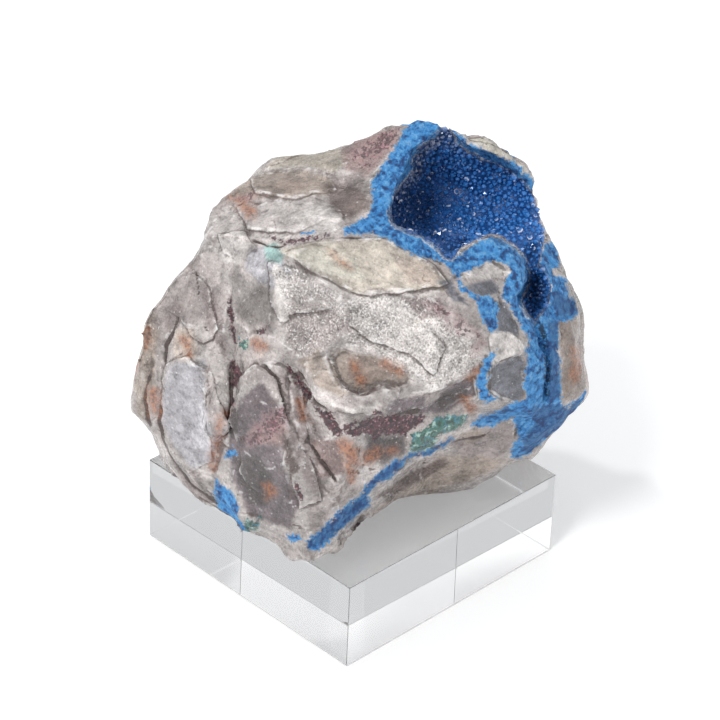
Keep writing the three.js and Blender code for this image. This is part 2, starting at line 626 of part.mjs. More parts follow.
function crystalAt(foot, axis, size, turn) {
  const sunk = 0.42;
  const sides = 6;
  const cone = new THREE.ConeGeometry(crystalRadius * size, crystalHeight * size, sides);
  cone.rotateY(turn);
  cone.translate(0, (0.5 - sunk) * crystalHeight * size, 0);
  cone.applyQuaternion(new THREE.Quaternion().setFromUnitVectors(new THREE.Vector3(0, 1, 0), axis));
  return solidOf(cone.translate(foot.x, foot.y, foot.z));
}

// The lining's depth under the hollow's floor: thin where the floor runs out at the stone's edge
function underLining([x, y, toward]) {
  const edgeReach = 22;
  const edgeSpacing = 6;
  const near = Math.min(1, nearestDistance([x, y], thickened(outline, edgeSpacing, true)) / edgeReach);
  return [x, y, toward - thinLiningDepth - (liningDepth - thinLiningDepth) * near];
}

const whole = wholeStone();
const hollow = pit(hollowRim, hollowFloor, 0, 0);
const underFloor = hollowFloor.map(underLining);
const lining = pit(liningRim, underFloor, 0, 0);
const liningRoom = pit(liningRim, underFloor, crustGap * focalPixels / middleDistance, crustRoomBelow);

const stoneSolid = whole.subtract(liningRoom.solid);
const liningInStone = lining.solid.intersect(whole);
const crystalsInside = crystals(hollow.floorFaces).intersect(liningInStone);
const crustSolid = liningInStone.subtract(hollow.solid).add(crystalsInside);

function named(name, geometry, colour, roughness, metalness) {
  const material = new THREE.MeshStandardMaterial({ color: colour, roughness, metalness });
  const mesh = new THREE.Mesh(geometry, material);
  mesh.name = name;
  return mesh;
}

const specimen = new THREE.Group();
specimen.add(named('acrylic_block', blockGeometry(), 0xe9edef, 0.05, 0));
specimen.add(named('quartz_matrix', geometryFrom(stoneSolid), 0xb7aaa4, 0.55, 0));
specimen.add(named('druse_crust', geometryFrom(crustSolid), 0x2368b8, 0.3, 0));

export default specimen;
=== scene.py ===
# %% [markdown]
# # A shattuckite specimen on its display block
#
# The real thing is a broken lump of quartz with a hollow in it. Blue shattuckite lines the hollow, and a
# druse of small quartz crystals grows on the lining. The lump stands on a clear acrylic block. The frame
# holds the three solids at their real size. This lesson dresses them: it never moves or resizes them.

# %% Load the frame
import math

import bmesh
import bpy
import numpy as np
from mathutils import Matrix, Vector
from mathutils.bvhtree import BVHTree


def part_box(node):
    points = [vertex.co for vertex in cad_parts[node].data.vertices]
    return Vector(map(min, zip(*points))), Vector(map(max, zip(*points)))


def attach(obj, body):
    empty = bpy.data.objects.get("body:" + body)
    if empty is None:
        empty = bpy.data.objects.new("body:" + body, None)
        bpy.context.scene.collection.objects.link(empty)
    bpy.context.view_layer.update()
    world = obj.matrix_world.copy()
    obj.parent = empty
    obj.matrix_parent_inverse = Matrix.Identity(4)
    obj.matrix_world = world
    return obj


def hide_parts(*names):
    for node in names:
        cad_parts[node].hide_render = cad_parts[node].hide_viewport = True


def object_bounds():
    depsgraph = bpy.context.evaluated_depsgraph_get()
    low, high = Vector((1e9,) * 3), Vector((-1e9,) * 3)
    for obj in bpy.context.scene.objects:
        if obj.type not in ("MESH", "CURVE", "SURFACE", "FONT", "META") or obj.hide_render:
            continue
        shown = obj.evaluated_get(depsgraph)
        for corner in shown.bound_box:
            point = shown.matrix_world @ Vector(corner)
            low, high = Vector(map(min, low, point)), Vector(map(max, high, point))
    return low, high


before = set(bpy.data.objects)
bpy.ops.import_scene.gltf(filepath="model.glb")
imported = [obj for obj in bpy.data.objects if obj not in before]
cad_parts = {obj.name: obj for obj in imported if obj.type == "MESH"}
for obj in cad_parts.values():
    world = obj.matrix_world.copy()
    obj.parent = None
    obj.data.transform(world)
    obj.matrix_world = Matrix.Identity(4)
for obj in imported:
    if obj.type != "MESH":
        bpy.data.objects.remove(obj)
cad_low, cad_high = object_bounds()
MM = 0.001
print("CAD box in mm:", [round(side / MM, 1) for side in cad_high - cad_low])

# %% [markdown]
# ## The camera
#
# The photo was taken from above one edge of the block. The block's corners and edges give the place of
# the eye and the lens, so the camera can see exactly what the photo saw. The same numbers turn any point
# of the stone into a place on the photo, which is how veins and stains are set out later on.

# %% The camera of the photo
PHOTO_SIDE = 720
PHOTO_MIDDLE = PHOTO_SIDE / 2
FOCAL_PIXELS = 2900
SENSOR_MM = 36
EYE = Vector((292.1, -298.2, 298.5))
SIGHT_AZIMUTH = math.radians(44.35)
SIGHT_ELEVATION = math.radians(31.97)
SIGHT_ROLL = math.radians(2.52)

toward_viewer = Vector((
    math.sin(SIGHT_AZIMUTH) * math.cos(SIGHT_ELEVATION),
    -math.cos(SIGHT_AZIMUTH) * math.cos(SIGHT_ELEVATION),
    math.sin(SIGHT_ELEVATION),
))
level_right = Vector((0, 0, 1)).cross(toward_viewer).normalized()
level_up = toward_viewer.cross(level_right)
photo_right = level_right * math.cos(SIGHT_ROLL) + level_up * math.sin(SIGHT_ROLL)
photo_up = level_up * math.cos(SIGHT_ROLL) - level_right * math.sin(SIGHT_ROLL)

lens = bpy.data.cameras.new("photo_lens")
lens.sensor_width = SENSOR_MM
lens.lens = FOCAL_PIXELS * SENSOR_MM / PHOTO_SIDE
lens.clip_start = 0.01
lens.clip_end = 10


def placed(name, data):
    """A new object in the scene."""
    made = bpy.data.objects.new(name, data)
    bpy.context.scene.collection.objects.link(made)
    return made


camera = placed("photo_camera", lens)
camera.matrix_world = Matrix((
    (photo_right.x, photo_up.x, toward_viewer.x, EYE.x * MM),
    (photo_right.y, photo_up.y, toward_viewer.y, EYE.y * MM),
    (photo_right.z, photo_up.z, toward_viewer.z, EYE.z * MM),
    (0, 0, 0, 1),
))
bpy.context.scene.camera = camera
STONE_MIDDLE = Vector((0, 0, 45.5))
pixel_size = (EYE - STONE_MIDDLE).dot(toward_viewer) / FOCAL_PIXELS
print("one photo pixel at the stone's middle is", round(pixel_size, 3), "mm")


# %% [markdown]
# ## Measuring on the photo
#
# Three small tools place things on the stone. One turns points in millimetres into photo pixels. One
# gives the distance to a line drawn on the photo, and one the distance inside a closed outline.

# %% From points of the stone to places on the photo
def on_photo(points_mm):
    """The photo pixels, across and down, of points in millimetres."""
    from_eye = points_mm - np.array(EYE)
    depth = -(from_eye @ np.array(toward_viewer))
    across = PHOTO_MIDDLE + FOCAL_PIXELS * (from_eye @ np.array(photo_right)) / depth
    down = PHOTO_MIDDLE - FOCAL_PIXELS * (from_eye @ np.array(photo_up)) / depth
    return np.stack([across, down], axis=1)


def distance_to_line(places, line):
    """How far each place is from a line of points, in photo pixels."""
    nearest = np.full(len(places), np.inf)
    for start, end in zip(line[:-1], line[1:]):
        start = np.array(start, float)
        along = np.array(end, float) - start
        share = np.clip((places - start) @ along / (along @ along), 0, 1)
        gap = np.linalg.norm(places - start - share[:, None] * along, axis=1)
        nearest = np.minimum(nearest, gap)
    return nearest


def depth_inside(places, outline):
    """How far each place is inside a closed outline, in photo pixels. Outside it is negative."""
    inside = np.zeros(len(places), bool)
    corners = list(zip(outline, outline[1:] + outline[:1]))
    for (x0, y0), (x1, y1) in corners:
        if y0 == y1:
            continue
        crosses = (places[:, 1] < y0) != (places[:, 1] < y1)
        reach = x0 + (places[:, 1] - y0) * (x1 - x0) / (y1 - y0)
        inside ^= crosses & (places[:, 0] < reach)
    gap = distance_to_line(places, outline + outline[:1])
    return np.where(inside, gap, -gap)


# %% [markdown]
# ## Noise for shapes
#
# A broken surface is irregular at every scale. Grain is smooth noise whose values come from whole-number
# hashes of each place, so it is the same each run, and layers of it get finer and finer.

# %% Grain
HASH_PRIMES = (73856093, 19349663, 83492791)
SEED_STEP = 2654435
FIRST_STIR = 1103515245
FIRST_SHIFT = 12345
LATER_STIRS = ((13, 1274126177), (16, 668265263))
HASH_SIZE = 2**31


def hashed(corners, seed):
    """A number from 0 to 1 for each row of three whole numbers."""
    across, along, up = (corners[..., axis] * prime for axis, prime in enumerate(HASH_PRIMES))
    mixed = (across ^ along ^ up ^ (seed * SEED_STEP)) * FIRST_STIR + FIRST_SHIFT
    for bits, factor in LATER_STIRS:
        mixed = (mixed ^ (mixed >> bits)) * factor & (HASH_SIZE - 1)
    return mixed / HASH_SIZE


def grain(points, size, seed):
    """Smooth noise from -1 to 1 with bumps about size apart."""
    scaled = points / size
    low = np.floor(scaled).astype(np.int64)
    share = scaled - low
    share = share * share * (3 - 2 * share)
    total = np.zeros(len(points))
    for corner in np.ndindex(2, 2, 2):
        weight = np.prod(np.where(np.array(corner) == 1, share, 1 - share), axis=1)
        total += weight * (2 * hashed(low + np.array(corner), seed) - 1)
    return total


def layered(points, size, seed, layers=4, keep=0.5):
    """Grain with finer and finer layers on top."""
    total = np.zeros(len(points))
    strength = 1.0
    for layer in range(layers):
        total += strength * grain(points, size / 2**layer, seed + layer)
        strength *= keep
    return total


def layered_rows(points, size, seed, width, layers, keep=0.5):
    """Rows of separate noises side by side."""
    return np.stack([layered(points, size, seed + axis, layers, keep) for axis in range(width)], axis=1)


def eased(value, low, high):
    """0 below low, 1 above high and a smooth step between them."""
    share = np.clip((value - low) / (high - low), 0, 1)
    return share * share * (3 - 2 * share)


# %% [markdown]
# ## The outlines on the photo
#
# A vein or a stain in the real stone has its own place and its own wandering edge. Each is drawn here as
# a short list of photo pixels: a closed outline, or a line with a width. The stone is then coloured from
# how deep a point lies inside them, roughened by noise, so the edges come out crisp and irregular.

# %% The hollow and the blue lining
HOLLOW = [
    (443, 123), (439, 130), (434, 137), (423, 143), (412, 157), (413, 169), (401, 183), (393, 196),
    (388, 211), (392, 224), (406, 234), (421, 238), (435, 248), (445, 260), (451, 263), (462, 250),
    (477, 241), (491, 235), (504, 240), (516, 248), (524, 258), (529, 271), (529, 283), (523, 295),
    (520, 301), (526, 314), (536, 323), (542, 314), (550, 302), (552, 287), (547, 273), (540, 266),
    (541, 255), (546, 240), (541, 214), (535, 196), (524, 182), (510, 171), (498, 163), (484, 158),
    (469, 151), (457, 141), (449, 127),
]
BLUE_OUTLINES = {
    "left_band": [
        (408, 120), (406, 127), (391, 156), (379, 171), (374, 178), (372, 202), (367, 215), (355, 225),
        (343, 230), (345, 236), (370, 234), (385, 238), (400, 247), (416, 256), (434, 260), (445, 264),
        (452, 272), (457, 286), (464, 292), (460, 280), (457, 271), (462, 262), (455, 250), (430, 190),
        (450, 118),
    ],
    "finger_loop": [
        (451, 262), (462, 250), (478, 241), (491, 235), (504, 240), (516, 248), (524, 258), (529, 271),
        (530, 284), (524, 295), (518, 301), (505, 303), (502, 294), (505, 284), (510, 273), (507, 265),
        (498, 260), (487, 262), (478, 268), (463, 273), (457, 272),
    ],
    "under_loop": [
        (477, 297), (487, 295), (495, 300), (499, 312), (498, 332), (488, 331), (482, 318), (477, 305),
    ],
    "main_band": [
        (507, 298), (513, 314), (521, 325), (528, 340), (526, 359), (524, 370), (525, 398), (511, 404),
        (497, 411), (478, 418), (471, 423), (478, 426), (497, 424), (515, 417), (516, 433), (513, 445),
        (509, 454), (514, 460), (526, 456), (537, 449), (550, 438), (561, 433), (573, 423), (582, 413),
        (591, 401), (594, 388), (585, 391), (576, 400), (568, 408), (561, 403), (560, 376), (558, 341),
        (560, 325), (577, 316), (578, 310), (570, 295), (564, 278), (553, 273), (548, 258), (552, 244),
        (530, 240), (518, 262),
    ],
    "right_rim": [
        (447, 122), (459, 133), (470, 143), (486, 151), (502, 157), (514, 164), (527, 174), (535, 183),
        (538, 194), (524, 186), (500, 170), (470, 156), (455, 144),
    ],
    "right_tongue": [(541, 256), (547, 241), (558, 247), (560, 264), (553, 270), (545, 268)],
    "slab_edge": [
        (496, 350), (493, 364), (488, 376), (487, 386), (491, 395), (500, 400), (484, 402), (478, 393),
        (476, 382), (481, 369), (487, 358),
    ],
    "left_foot": [
        (216, 478), (230, 493), (238, 506), (237, 514), (246, 528), (243, 536), (231, 526), (218, 508),
        (215, 490),
    ],
    "left_spot": [(225, 449), (232, 446), (239, 453), (232, 458), (225, 456)],
    "foot_spot": [(286, 535), (296, 533), (303, 539), (291, 543)],
}
# Each line of a stain: half its width in pixels, its points
BLUE_LINES = {
    "low_vein": (7.0, [(313, 545), (335, 526), (350, 512), (363, 501)]),
    "middle_vein": (4.6, [(372, 486), (388, 472), (400, 463)]),
    "vein_joint": (3.0, [(360, 500), (374, 484)]),
    "high_vein": (2.4, [(400, 463), (412, 455), (430, 452), (450, 438)]),
    "ridge_fleck": (1.6, [(302, 233), (312, 232)]),
    "core_foot": (2.6, [(463, 289), (474, 296), (480, 299)]),
}
# Painted shade on the blue: the band's right side, its foot, the low vein and under the tongue
BLUE_SHADE_OUTLINES = {
    "right_band": [(546, 322), (562, 318), (560, 340), (561, 400), (548, 400), (547, 350)],
    "foot": [
        (530, 404), (565, 404), (585, 400), (572, 424), (545, 440), (524, 456), (520, 440), (535, 425),
    ],
    "low_vein": [
        (302, 552), (306, 535), (346, 500), (372, 480), (410, 450), (452, 434), (452, 446), (420, 464),
        (380, 496), (350, 530),
    ],
    "under_tongue": [(556, 290), (576, 306), (572, 316), (560, 318), (550, 306)],
}
# A painted shadow, near black, in the deep gap beside the main band
GAP_SHADOW_LINES = {
    "band_gap": (2.2, [(538, 322), (544, 338), (547, 356), (547, 398)]),
}

# %% Wine, rust and green stains
WINE_LINES = {
    "long_vein": (3.4, [(289, 367), (300, 383), (311, 399), (326, 416)]),
    "vein_corner": (5.2, [(326, 416), (339, 430)]),
    "vein_neck": (2.6, [(342, 430), (356, 423)]),
    "crack_blob": (4.2, [(232, 364), (236, 376), (232, 384)]),
    "low_blob": (3.0, [(231, 400), (233, 405)]),
    "upper_crack": (2.2, [(230, 300), (232, 318), (236, 344)]),
    # ridge_shadow is a painted shadow under the ridge, laid in the wine colour
    "ridge_shadow": (2.4, [(271, 239), (285, 243), (305, 240), (326, 236)]),
    "small_stain": (2.0, [(296, 484), (300, 498)]),
    "knob_stain": (3.4, [(259, 332), (266, 326)]),
}
WINE_OUTLINES = {
    "bay": [
        (346, 432), (361, 420), (375, 412), (392, 414), (410, 414), (424, 409), (429, 416), (424, 425),
        (412, 430), (404, 438), (396, 434), (384, 435), (376, 444), (368, 436), (354, 436),
    ],
}
BLUSH_OUTLINES = {
    "right": [
        (422, 303), (440, 302), (462, 314), (482, 330), (488, 345), (482, 358), (468, 360), (474, 340),
        (452, 334), (436, 322),
    ],
    "top": [(345, 150), (362, 140), (388, 126), (404, 126), (396, 148), (376, 168), (362, 172), (352, 162)],
    "boss": [
        (240, 440), (250, 424), (268, 408), (286, 402), (292, 424), (284, 436), (262, 446), (248, 452),
    ],
    "slope": [(232, 196), (256, 190), (272, 196), (250, 204)],
}
RUST_LINES = {
    "upper_line": (1.8, [(230, 198), (250, 200)]),
    "upper_blot": (5.0, [(246, 206), (250, 212)]),
    "crack_line": (1.8, [(226, 412), (219, 430), (215, 450), (213, 470)]),
    "low_blot": (7.5, [(345, 446), (354, 460)]),
    "low_tail": (3.5, [(350, 462), (352, 480)]),
    "rib_line": (2.4, [(299, 402), (303, 418)]),
    "boss_blot": (3.6, [(267, 489), (270, 494)]),
    "knob_blot": (5.0, [(256, 345), (262, 347)]),
    "scallop_blot": (3.0, [(385, 363), (394, 367), (402, 371)]),
    "scallop_line": (2.0, [(354, 364), (358, 372), (360, 381)]),
    "bay_blot": (5.0, [(369, 458), (376, 452)]),
    "bay_fleck": (2.0, [(388, 452), (394, 451)]),
    "right_blot": (4.2, [(577, 352), (576, 376)]),
    "left_lobe": (3.4, [(144, 330), (145, 345)]),
    "left_lobe_low": (4.0, [(152, 392), (156, 410)]),
    "slab_blot": (3.0, [(466, 402), (470, 408)]),
    "fold_line": (2.0, [(330, 254), (350, 266)]),
    "knob_cream": (3.0, [(183, 340), (188, 352)]),
    "right_end": (2.0, [(468, 376), (478, 372)]),
}
GREEN_OUTLINES = {
    "bay": [
        (409, 434), (413, 453), (423, 451), (434, 447), (440, 436), (452, 431), (462, 426), (468, 414),
        (454, 412), (433, 420), (422, 430),
    ],
    "foot": [(241, 526), (246, 519), (258, 520), (262, 512), (264, 520), (252, 532), (243, 535)],
    "spot": [(481, 372), (486, 371), (488, 377), (483, 379)],
    "crack": [(238, 335), (246, 340), (247, 350), (240, 350)],
}
SUGAR_OUTLINES = {
    "right": [
        (345, 298), (400, 294), (430, 298), (470, 340), (480, 355), (470, 374), (436, 392), (400, 372),
        (370, 350), (346, 345),
    ],
    "left": [(284, 300), (306, 306), (345, 302), (346, 330), (330, 350), (300, 358), (286, 345)],
    "step": [(270, 262), (290, 262), (330, 290), (345, 298), (300, 304), (284, 300)],
}

# %% Outlines that a facet, a ledge and a colour share
SCALLOP = [
    (327, 360), (341, 350), (375, 357), (387, 364), (409, 372), (409, 386), (392, 387), (386, 383),
    (372, 389), (363, 392), (346, 386), (337, 380), (332, 369),
]
DARK_LEDGE = [
    (387, 406), (396, 398), (418, 398), (442, 390), (457, 381), (474, 376), (476, 395), (439, 415),
    (424, 413),
]
SLAB = [(490, 334), (505, 330), (518, 338), (527, 347), (518, 353), (494, 366)]
DARK_FACE = [(492, 366), (520, 353), (524, 362), (524, 396), (518, 402), (500, 398), (488, 388)]
print("stains drawn:", len(BLUE_OUTLINES) + len(WINE_LINES) + len(RUST_LINES) + len(GREEN_OUTLINES))

# %% [markdown]
# ## One closed lump
#
# The frame keeps the crust apart from the quartz by a hair's breadth, because two solids may not touch.
# In the real stone they are one grown thing. Boolean union would join them but keep the flat triangles.
# A voxel remesh joins them too, and gives an even net of small faces that can then be roughened.

# %% Join the quartz and its crust into one fine net
NET_MM = 0.485
CRUST_GAP_MM = 0.35
GLUE = 1.8


def copied_mesh(node):
    """A bmesh of a CAD node, its corners welded, in millimetres."""
    net = bmesh.new()
    net.from_mesh(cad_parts[node].data)
    bmesh.ops.remove_doubles(net, verts=net.verts, dist=1e-6)
    bmesh.ops.scale(net, vec=(1 / MM,) * 3, verts=net.verts)
    return net


quartz_net = copied_mesh("quartz_matrix")
crust_net = copied_mesh("druse_crust")
quartz_tree = BVHTree.FromBMesh(quartz_net)
crust_tree = BVHTree.FromBMesh(crust_net)
for corner in crust_net.verts:
    spot, _, _, gap = quartz_tree.find_nearest(corner.co)
    if gap < CRUST_GAP_MM * GLUE:
        corner.co += (spot - corner.co) * GLUE

joined = bpy.data.meshes.new("joined_lump")
both = bmesh.new()
for net in (quartz_net, crust_net):
    part = bpy.data.meshes.new("part")
    net.to_mesh(part)
    both.from_mesh(part)
    bpy.data.meshes.remove(part)
both.to_mesh(joined)
both.free()
lump = placed("quartz_lump", joined)
remesh = lump.modifiers.new("even_net", "REMESH")
remesh.mode = "VOXEL"
remesh.voxel_size = NET_MM
remesh.adaptivity = 0
fine = bpy.data.meshes.new_from_object(lump.evaluated_get(bpy.context.evaluated_depsgraph_get()))
lump.modifiers.clear()
lump.data = fine
print("lump net:", len(fine.vertices), "corners,", len(fine.polygons), "faces")


# %% [markdown]
# ## Reading and smoothing the net
#
# Thin spots can leave loose bits beside the lump, so all but the largest bit goes. The voxel net follows
# the solid in tiny steps. A few rounds of averaging take the steps out. The places, normals and
# neighbours are kept as arrays, because some 100,000 corners are too many for a loop in Python.

# %% Arrays of the net
def mesh_rows(items, name, width, kind=float):
    """One row of numbers for each corner, edge or face of a mesh."""
    numbers = np.empty(len(items) * width, kind)
    items.foreach_get(name, numbers)
    return numbers.reshape(-1, width)


def edge_ends(mesh):
    return mesh_rows(mesh.edges, "vertices", 2, np.int64)


def moved_corners(mesh, places):
    """Writes the corners' new places and reads their new normals."""
    mesh.vertices.foreach_set("co", places.ravel())
    mesh.update()
    return mesh_rows(mesh.vertices, "normal", 3)


def unit(rows):
    return rows / np.linalg.norm(rows, axis=1, keepdims=True)


def dotted(first, second):
    return np.einsum("ij,ij->i", first, second)


def averaged(values, ends, rounds, pull):
    """Values moved toward the mean of their neighbours, round by round."""
    count = np.bincount(ends.ravel(), minlength=len(values))
    for _ in range(rounds):
        total = np.zeros_like(values)
        np.add.at(total, ends[:, 0], values[ends[:, 1]])
        np.add.at(total, ends[:, 1], values[ends[:, 0]])
        mean = total / count.reshape(-1, *[1] * (values.ndim - 1))
        values = values + pull * (mean - values)
    return values


def bit_labels(ends, count):
    """The same number for all corners that edges join into one bit."""
    label = np.arange(count)
    while True:
        fresh = label.copy()
        np.minimum.at(fresh, ends[:, 0], label[ends[:, 1]])
        np.minimum.at(fresh, ends[:, 1], label[ends[:, 0]])
        fresh = fresh[fresh]
        if (fresh == label).all():
            return label
        label = fresh


label = bit_labels(edge_ends(fine), len(fine.vertices))
loose = np.flatnonzero(label != np.bincount(label).argmax())
whole = bmesh.new()
whole.from_mesh(fine)
whole.verts.ensure_lookup_table()
bmesh.ops.delete(whole, geom=[whole.verts[index] for index in loose.tolist()], context="VERTS")
whole.to_mesh(fine)
whole.free()
print("corners of loose bits taken out:", len(loose))

ends = edge_ends(fine)
places = averaged(mesh_rows(fine.vertices, "co", 3), ends, rounds=3, pull=0.6)
normals = moved_corners(fine, places)
pixels = on_photo(places)
facing = normals @ np.array(toward_viewer)
print("corners that face the photo:", int((facing > 0).sum()))

# %% [markdown]
# ## Which corners belong to the crust
#
# A corner is on the crust when the crust's solid is nearer to it than the quartz. The part of it inside
# the hollow's rim carries the dark druse, unless it turns away from the photo. The rest is the broken
# edge of the lining.

# %% Crust and hollow on the net
def gap_to(tree, points):
    return np.array([tree.find_nearest(point)[3] for point in points.tolist()])


on_crust = gap_to(crust_tree, places) < gap_to(quartz_tree, places)
hollow_depth = depth_inside(pixels, HOLLOW) * pixel_size
RIM_FREE_MM = 0.25
TURNED_AWAY = -0.1
in_hollow = on_crust & (hollow_depth > RIM_FREE_MM) & (facing > TURNED_AWAY)
print("corners on the crust:", int(on_crust.sum()), "and in the hollow:", int(in_hollow.sum()))

# %% [markdown]
# ## Cleaving the surface into facets
#
# Quartz breaks along flat and gently curved faces that meet in crisp edges. Noise alone looks like clay.
# Here the surface is split into regions, a plane is laid through each, and its corners are drawn toward
# that plane. The main facets are drawn from the photo, and random cells cleave the rest of the stone.

# %% The facets of this stone
FACETS = {
    "left_white": [
        (168, 366), (186, 352), (206, 372), (203, 402), (205, 436), (212, 460), (196, 478), (176, 450),
        (160, 418), (163, 390),
    ],
    "left_plate": [(207, 368), (214, 380), (226, 432), (214, 440), (205, 436), (202, 402)],
    "left_foot": [(176, 450), (196, 478), (212, 506), (196, 505), (176, 482), (166, 456)],
    "left_slope": [
        (152, 300), (186, 262), (206, 290), (222, 340), (208, 350), (190, 322), (172, 325), (160, 352),
        (150, 330),
    ],
    "slope_top": [(186, 262), (214, 238), (232, 262), (230, 300), (222, 340), (206, 290)],
    "sliver": [(208, 350), (222, 340), (232, 372), (226, 400), (214, 380), (207, 368)],
    "cream": [(172, 328), (190, 322), (200, 345), (186, 352), (168, 366), (164, 345)],
    "boss_top": [(244, 378), (262, 366), (276, 380), (285, 402), (262, 408), (246, 402)],
    "boss_side": [(246, 402), (285, 402), (291, 430), (286, 462), (268, 470), (240, 448), (234, 420)],
    "boss_low": [
        (240, 448), (268, 470), (286, 462), (290, 500), (300, 522), (268, 520), (244, 500), (232, 476),
    ],
    "rib_top": [
        (264, 366), (286, 366), (300, 384), (306, 430), (298, 452), (290, 430), (285, 402), (276, 380),
    ],
    "rib_side": [(300, 384), (318, 406), (338, 436), (326, 448), (310, 440), (303, 412)],
    "rib_low": [(310, 440), (338, 438), (346, 470), (336, 500), (318, 480), (304, 462)],
    "low_left": [(290, 470), (304, 462), (318, 480), (334, 504), (318, 538), (300, 522), (290, 500)],
    "dark_wedge": [(236, 318), (244, 298), (262, 290), (274, 302), (268, 328), (248, 332)],
    "pink_wedge": [(240, 340), (262, 330), (286, 345), (284, 362), (262, 364), (244, 376)],
    "sugar_left": [(284, 318), (306, 310), (332, 308), (346, 330), (326, 352), (300, 360), (284, 345)],
    "under_step": [(284, 262), (322, 280), (345, 298), (330, 302), (300, 300), (288, 282)],
    "fold": [
        (276, 250), (330, 240), (380, 238), (412, 256), (440, 274), (440, 292), (400, 290), (350, 290),
        (322, 276), (290, 258),
    ],
    "sugar_right": [
        (345, 298), (400, 294), (430, 298), (438, 340), (420, 380), (392, 350), (346, 345), (338, 320),
    ],
    "sugar_end": [(430, 298), (470, 325), (486, 345), (470, 374), (436, 392), (420, 380), (438, 340)],
    "scallop": [(330, 352), (352, 345), (392, 352), (401, 374), (380, 386), (352, 392), (338, 374)],
    "lip": [
        (303, 364), (330, 356), (338, 374), (352, 394), (380, 388), (402, 384), (384, 408), (352, 415),
        (322, 400),
    ],
    "slab": SLAB,
    "slate": DARK_FACE,
    "bay": [(360, 436), (405, 432), (408, 450), (385, 470), (362, 466)],
    "under_bay": [(346, 470), (385, 470), (398, 466), (370, 496), (340, 520), (336, 500)],
    "dark_ledge": [(385, 412), (400, 396), (440, 386), (474, 376), (478, 386), (450, 402), (420, 412)],
    "underside": [(440, 450), (476, 430), (514, 420), (514, 450), (490, 476), (430, 490), (418, 472)],
    "low_ledge": [(370, 505), (418, 472), (430, 490), (400, 506), (360, 530), (330, 548), (345, 530)],
    "smoky": [(236, 192), (262, 172), (300, 168), (332, 176), (334, 196), (300, 200), (256, 200)],
    "upper_slope": [(262, 168), (300, 145), (345, 136), (362, 150), (334, 176), (300, 166)],
    "pale_slope": [
        (205, 236), (222, 205), (256, 202), (300, 202), (335, 205), (345, 226), (320, 234), (275, 242),
        (240, 240),
    ],
    "red_slope": [
        (345, 136), (400, 126), (394, 150), (372, 176), (366, 190), (334, 190), (334, 176), (362, 150),
    ],
}
RANDOM_FACET_MM = 9.5
SMALL_FACET_MM = 3.0
CELL_ROOM = 1024
LEAST_LEAN = 0.35


def cell_labels(points, size, seed):
    """The number of the random cell that each point lies in."""
    scaled = points / size
    low = np.floor(scaled).astype(np.int64)
    nearest = np.full(len(points), np.inf)
    label = np.zeros(len(points), np.int64)
    for offset in np.ndindex(3, 3, 3):
        cell = low + np.array(offset) - 1
        middle = cell + np.stack([hashed(cell, seed + axis) for axis in range(3)], axis=1)
        gap = np.sum((scaled - middle) ** 2, axis=1)
        closer = gap < nearest
        nearest = np.where(closer, gap, nearest)
        across, along, up = (cell + CELL_ROOM // 2).T
        label = np.where(closer, (across * CELL_ROOM + along) * CELL_ROOM + up, label)
    return np.unique(label, return_inverse=True)[1]


def region_means(labels, rows):
    """The mean row of each region."""
    count = np.bincount(labels)
    return np.stack([np.bincount(labels, column) / count for column in rows.T], axis=1)


def region_planes(labels, drawn_tilt, free_tilt, seed):
    """One normal for each region, tilted at random. A drawn region tilts less than a free one."""
    plane = unit(region_means(labels, coarse_normals))
    tilt = free_tilt + (drawn_tilt - free_tilt) * region_means(labels, from_photo[:, None])
    return unit(plane + tilt * np.random.default_rng(seed).normal(size=plane.shape))


def to_planes(labels, planes, limit):
    """How far each corner lies from its region's plane along its own normal, at most limit."""
    lean = dotted(coarse_normals, planes[labels])
    reach = dotted(region_means(labels, places)[labels] - places, planes[labels])
    return np.clip(reach / np.maximum(lean, LEAST_LEAN), -limit, limit)


def settled(points, targets, rounds):
    """Corners moved until the surface between neighbours lies square to its target normals."""
    first, second = ends.T
    lean = unit(targets[first] + targets[second])
    size = len(points)
    count = np.bincount(ends.ravel(), minlength=size)
    for _ in range(rounds):
        step = dotted(points[second] - points[first], lean)[:, None] * lean
        total = np.stack([
            np.bincount(first, step[:, axis], size) - np.bincount(second, step[:, axis], size)
            for axis in range(3)
        ], axis=1)
        points = points + SETTLING * total / count[:, None]
    return points


SETTLING = 0.9
EDGE_WANDER = 1.6
SMALL_EDGE_WANDER = 0.7
wander = layered_rows(places, 5.0, 40, width=3, layers=3)
big_labels = cell_labels(places + EDGE_WANDER * wander, RANDOM_FACET_MM, 3)
facet_pixels = pixels + EDGE_WANDER * wander[:, :2]
from_photo = np.zeros(len(places), bool)
for outline in FACETS.values():
    inside = (depth_inside(facet_pixels, outline) > 0) & (facing > 0)
    big_labels = np.where(inside, big_labels.max() + 1, big_labels)
    from_photo |= inside
big_labels = np.unique(big_labels, return_inverse=True)[1]
small_labels = cell_labels(places + SMALL_EDGE_WANDER * wander, SMALL_FACET_MM, 17)
print("facets:", int(big_labels.max()) + 1, "large and", int(small_labels.max()) + 1, "small")

# %% Cleave
DRAWN_LIMIT_MM = 1.1
RIM_LIMIT_MM = 0.6
BACK_EXTRA_MM = 1.6
SMALL_SHARE = 0.55
DEEPEST_SHARE = 1.4
PROUDEST_SHARE = 1.2
WAVE_MM = 0.16
GRIT_MM = 0.06
coarse_normals = unit(averaged(normals, ends, rounds=12, pull=0.8))
big_planes = region_planes(big_labels, drawn_tilt=0.10, free_tilt=0.24, seed=5)
small_planes = region_planes(small_labels, drawn_tilt=0.30, free_tilt=0.34, seed=6)
most = np.where(from_photo, DRAWN_LIMIT_MM, RIM_LIMIT_MM + BACK_EXTRA_MM * eased(-facing, 0.25, 0.6))
broken = places + coarse_normals * to_planes(big_labels, big_planes, most)[:, None]
big_targets = big_planes[big_labels]
broken = settled(broken, big_targets, rounds=14)
mixed_targets = (1 - SMALL_SHARE) * big_targets + SMALL_SHARE * small_planes[small_labels]
broken = dotted(settled(broken, unit(mixed_targets), rounds=8) - places, normals)
broken = np.clip(broken, -DEEPEST_SHARE * most, PROUDEST_SHARE * most)
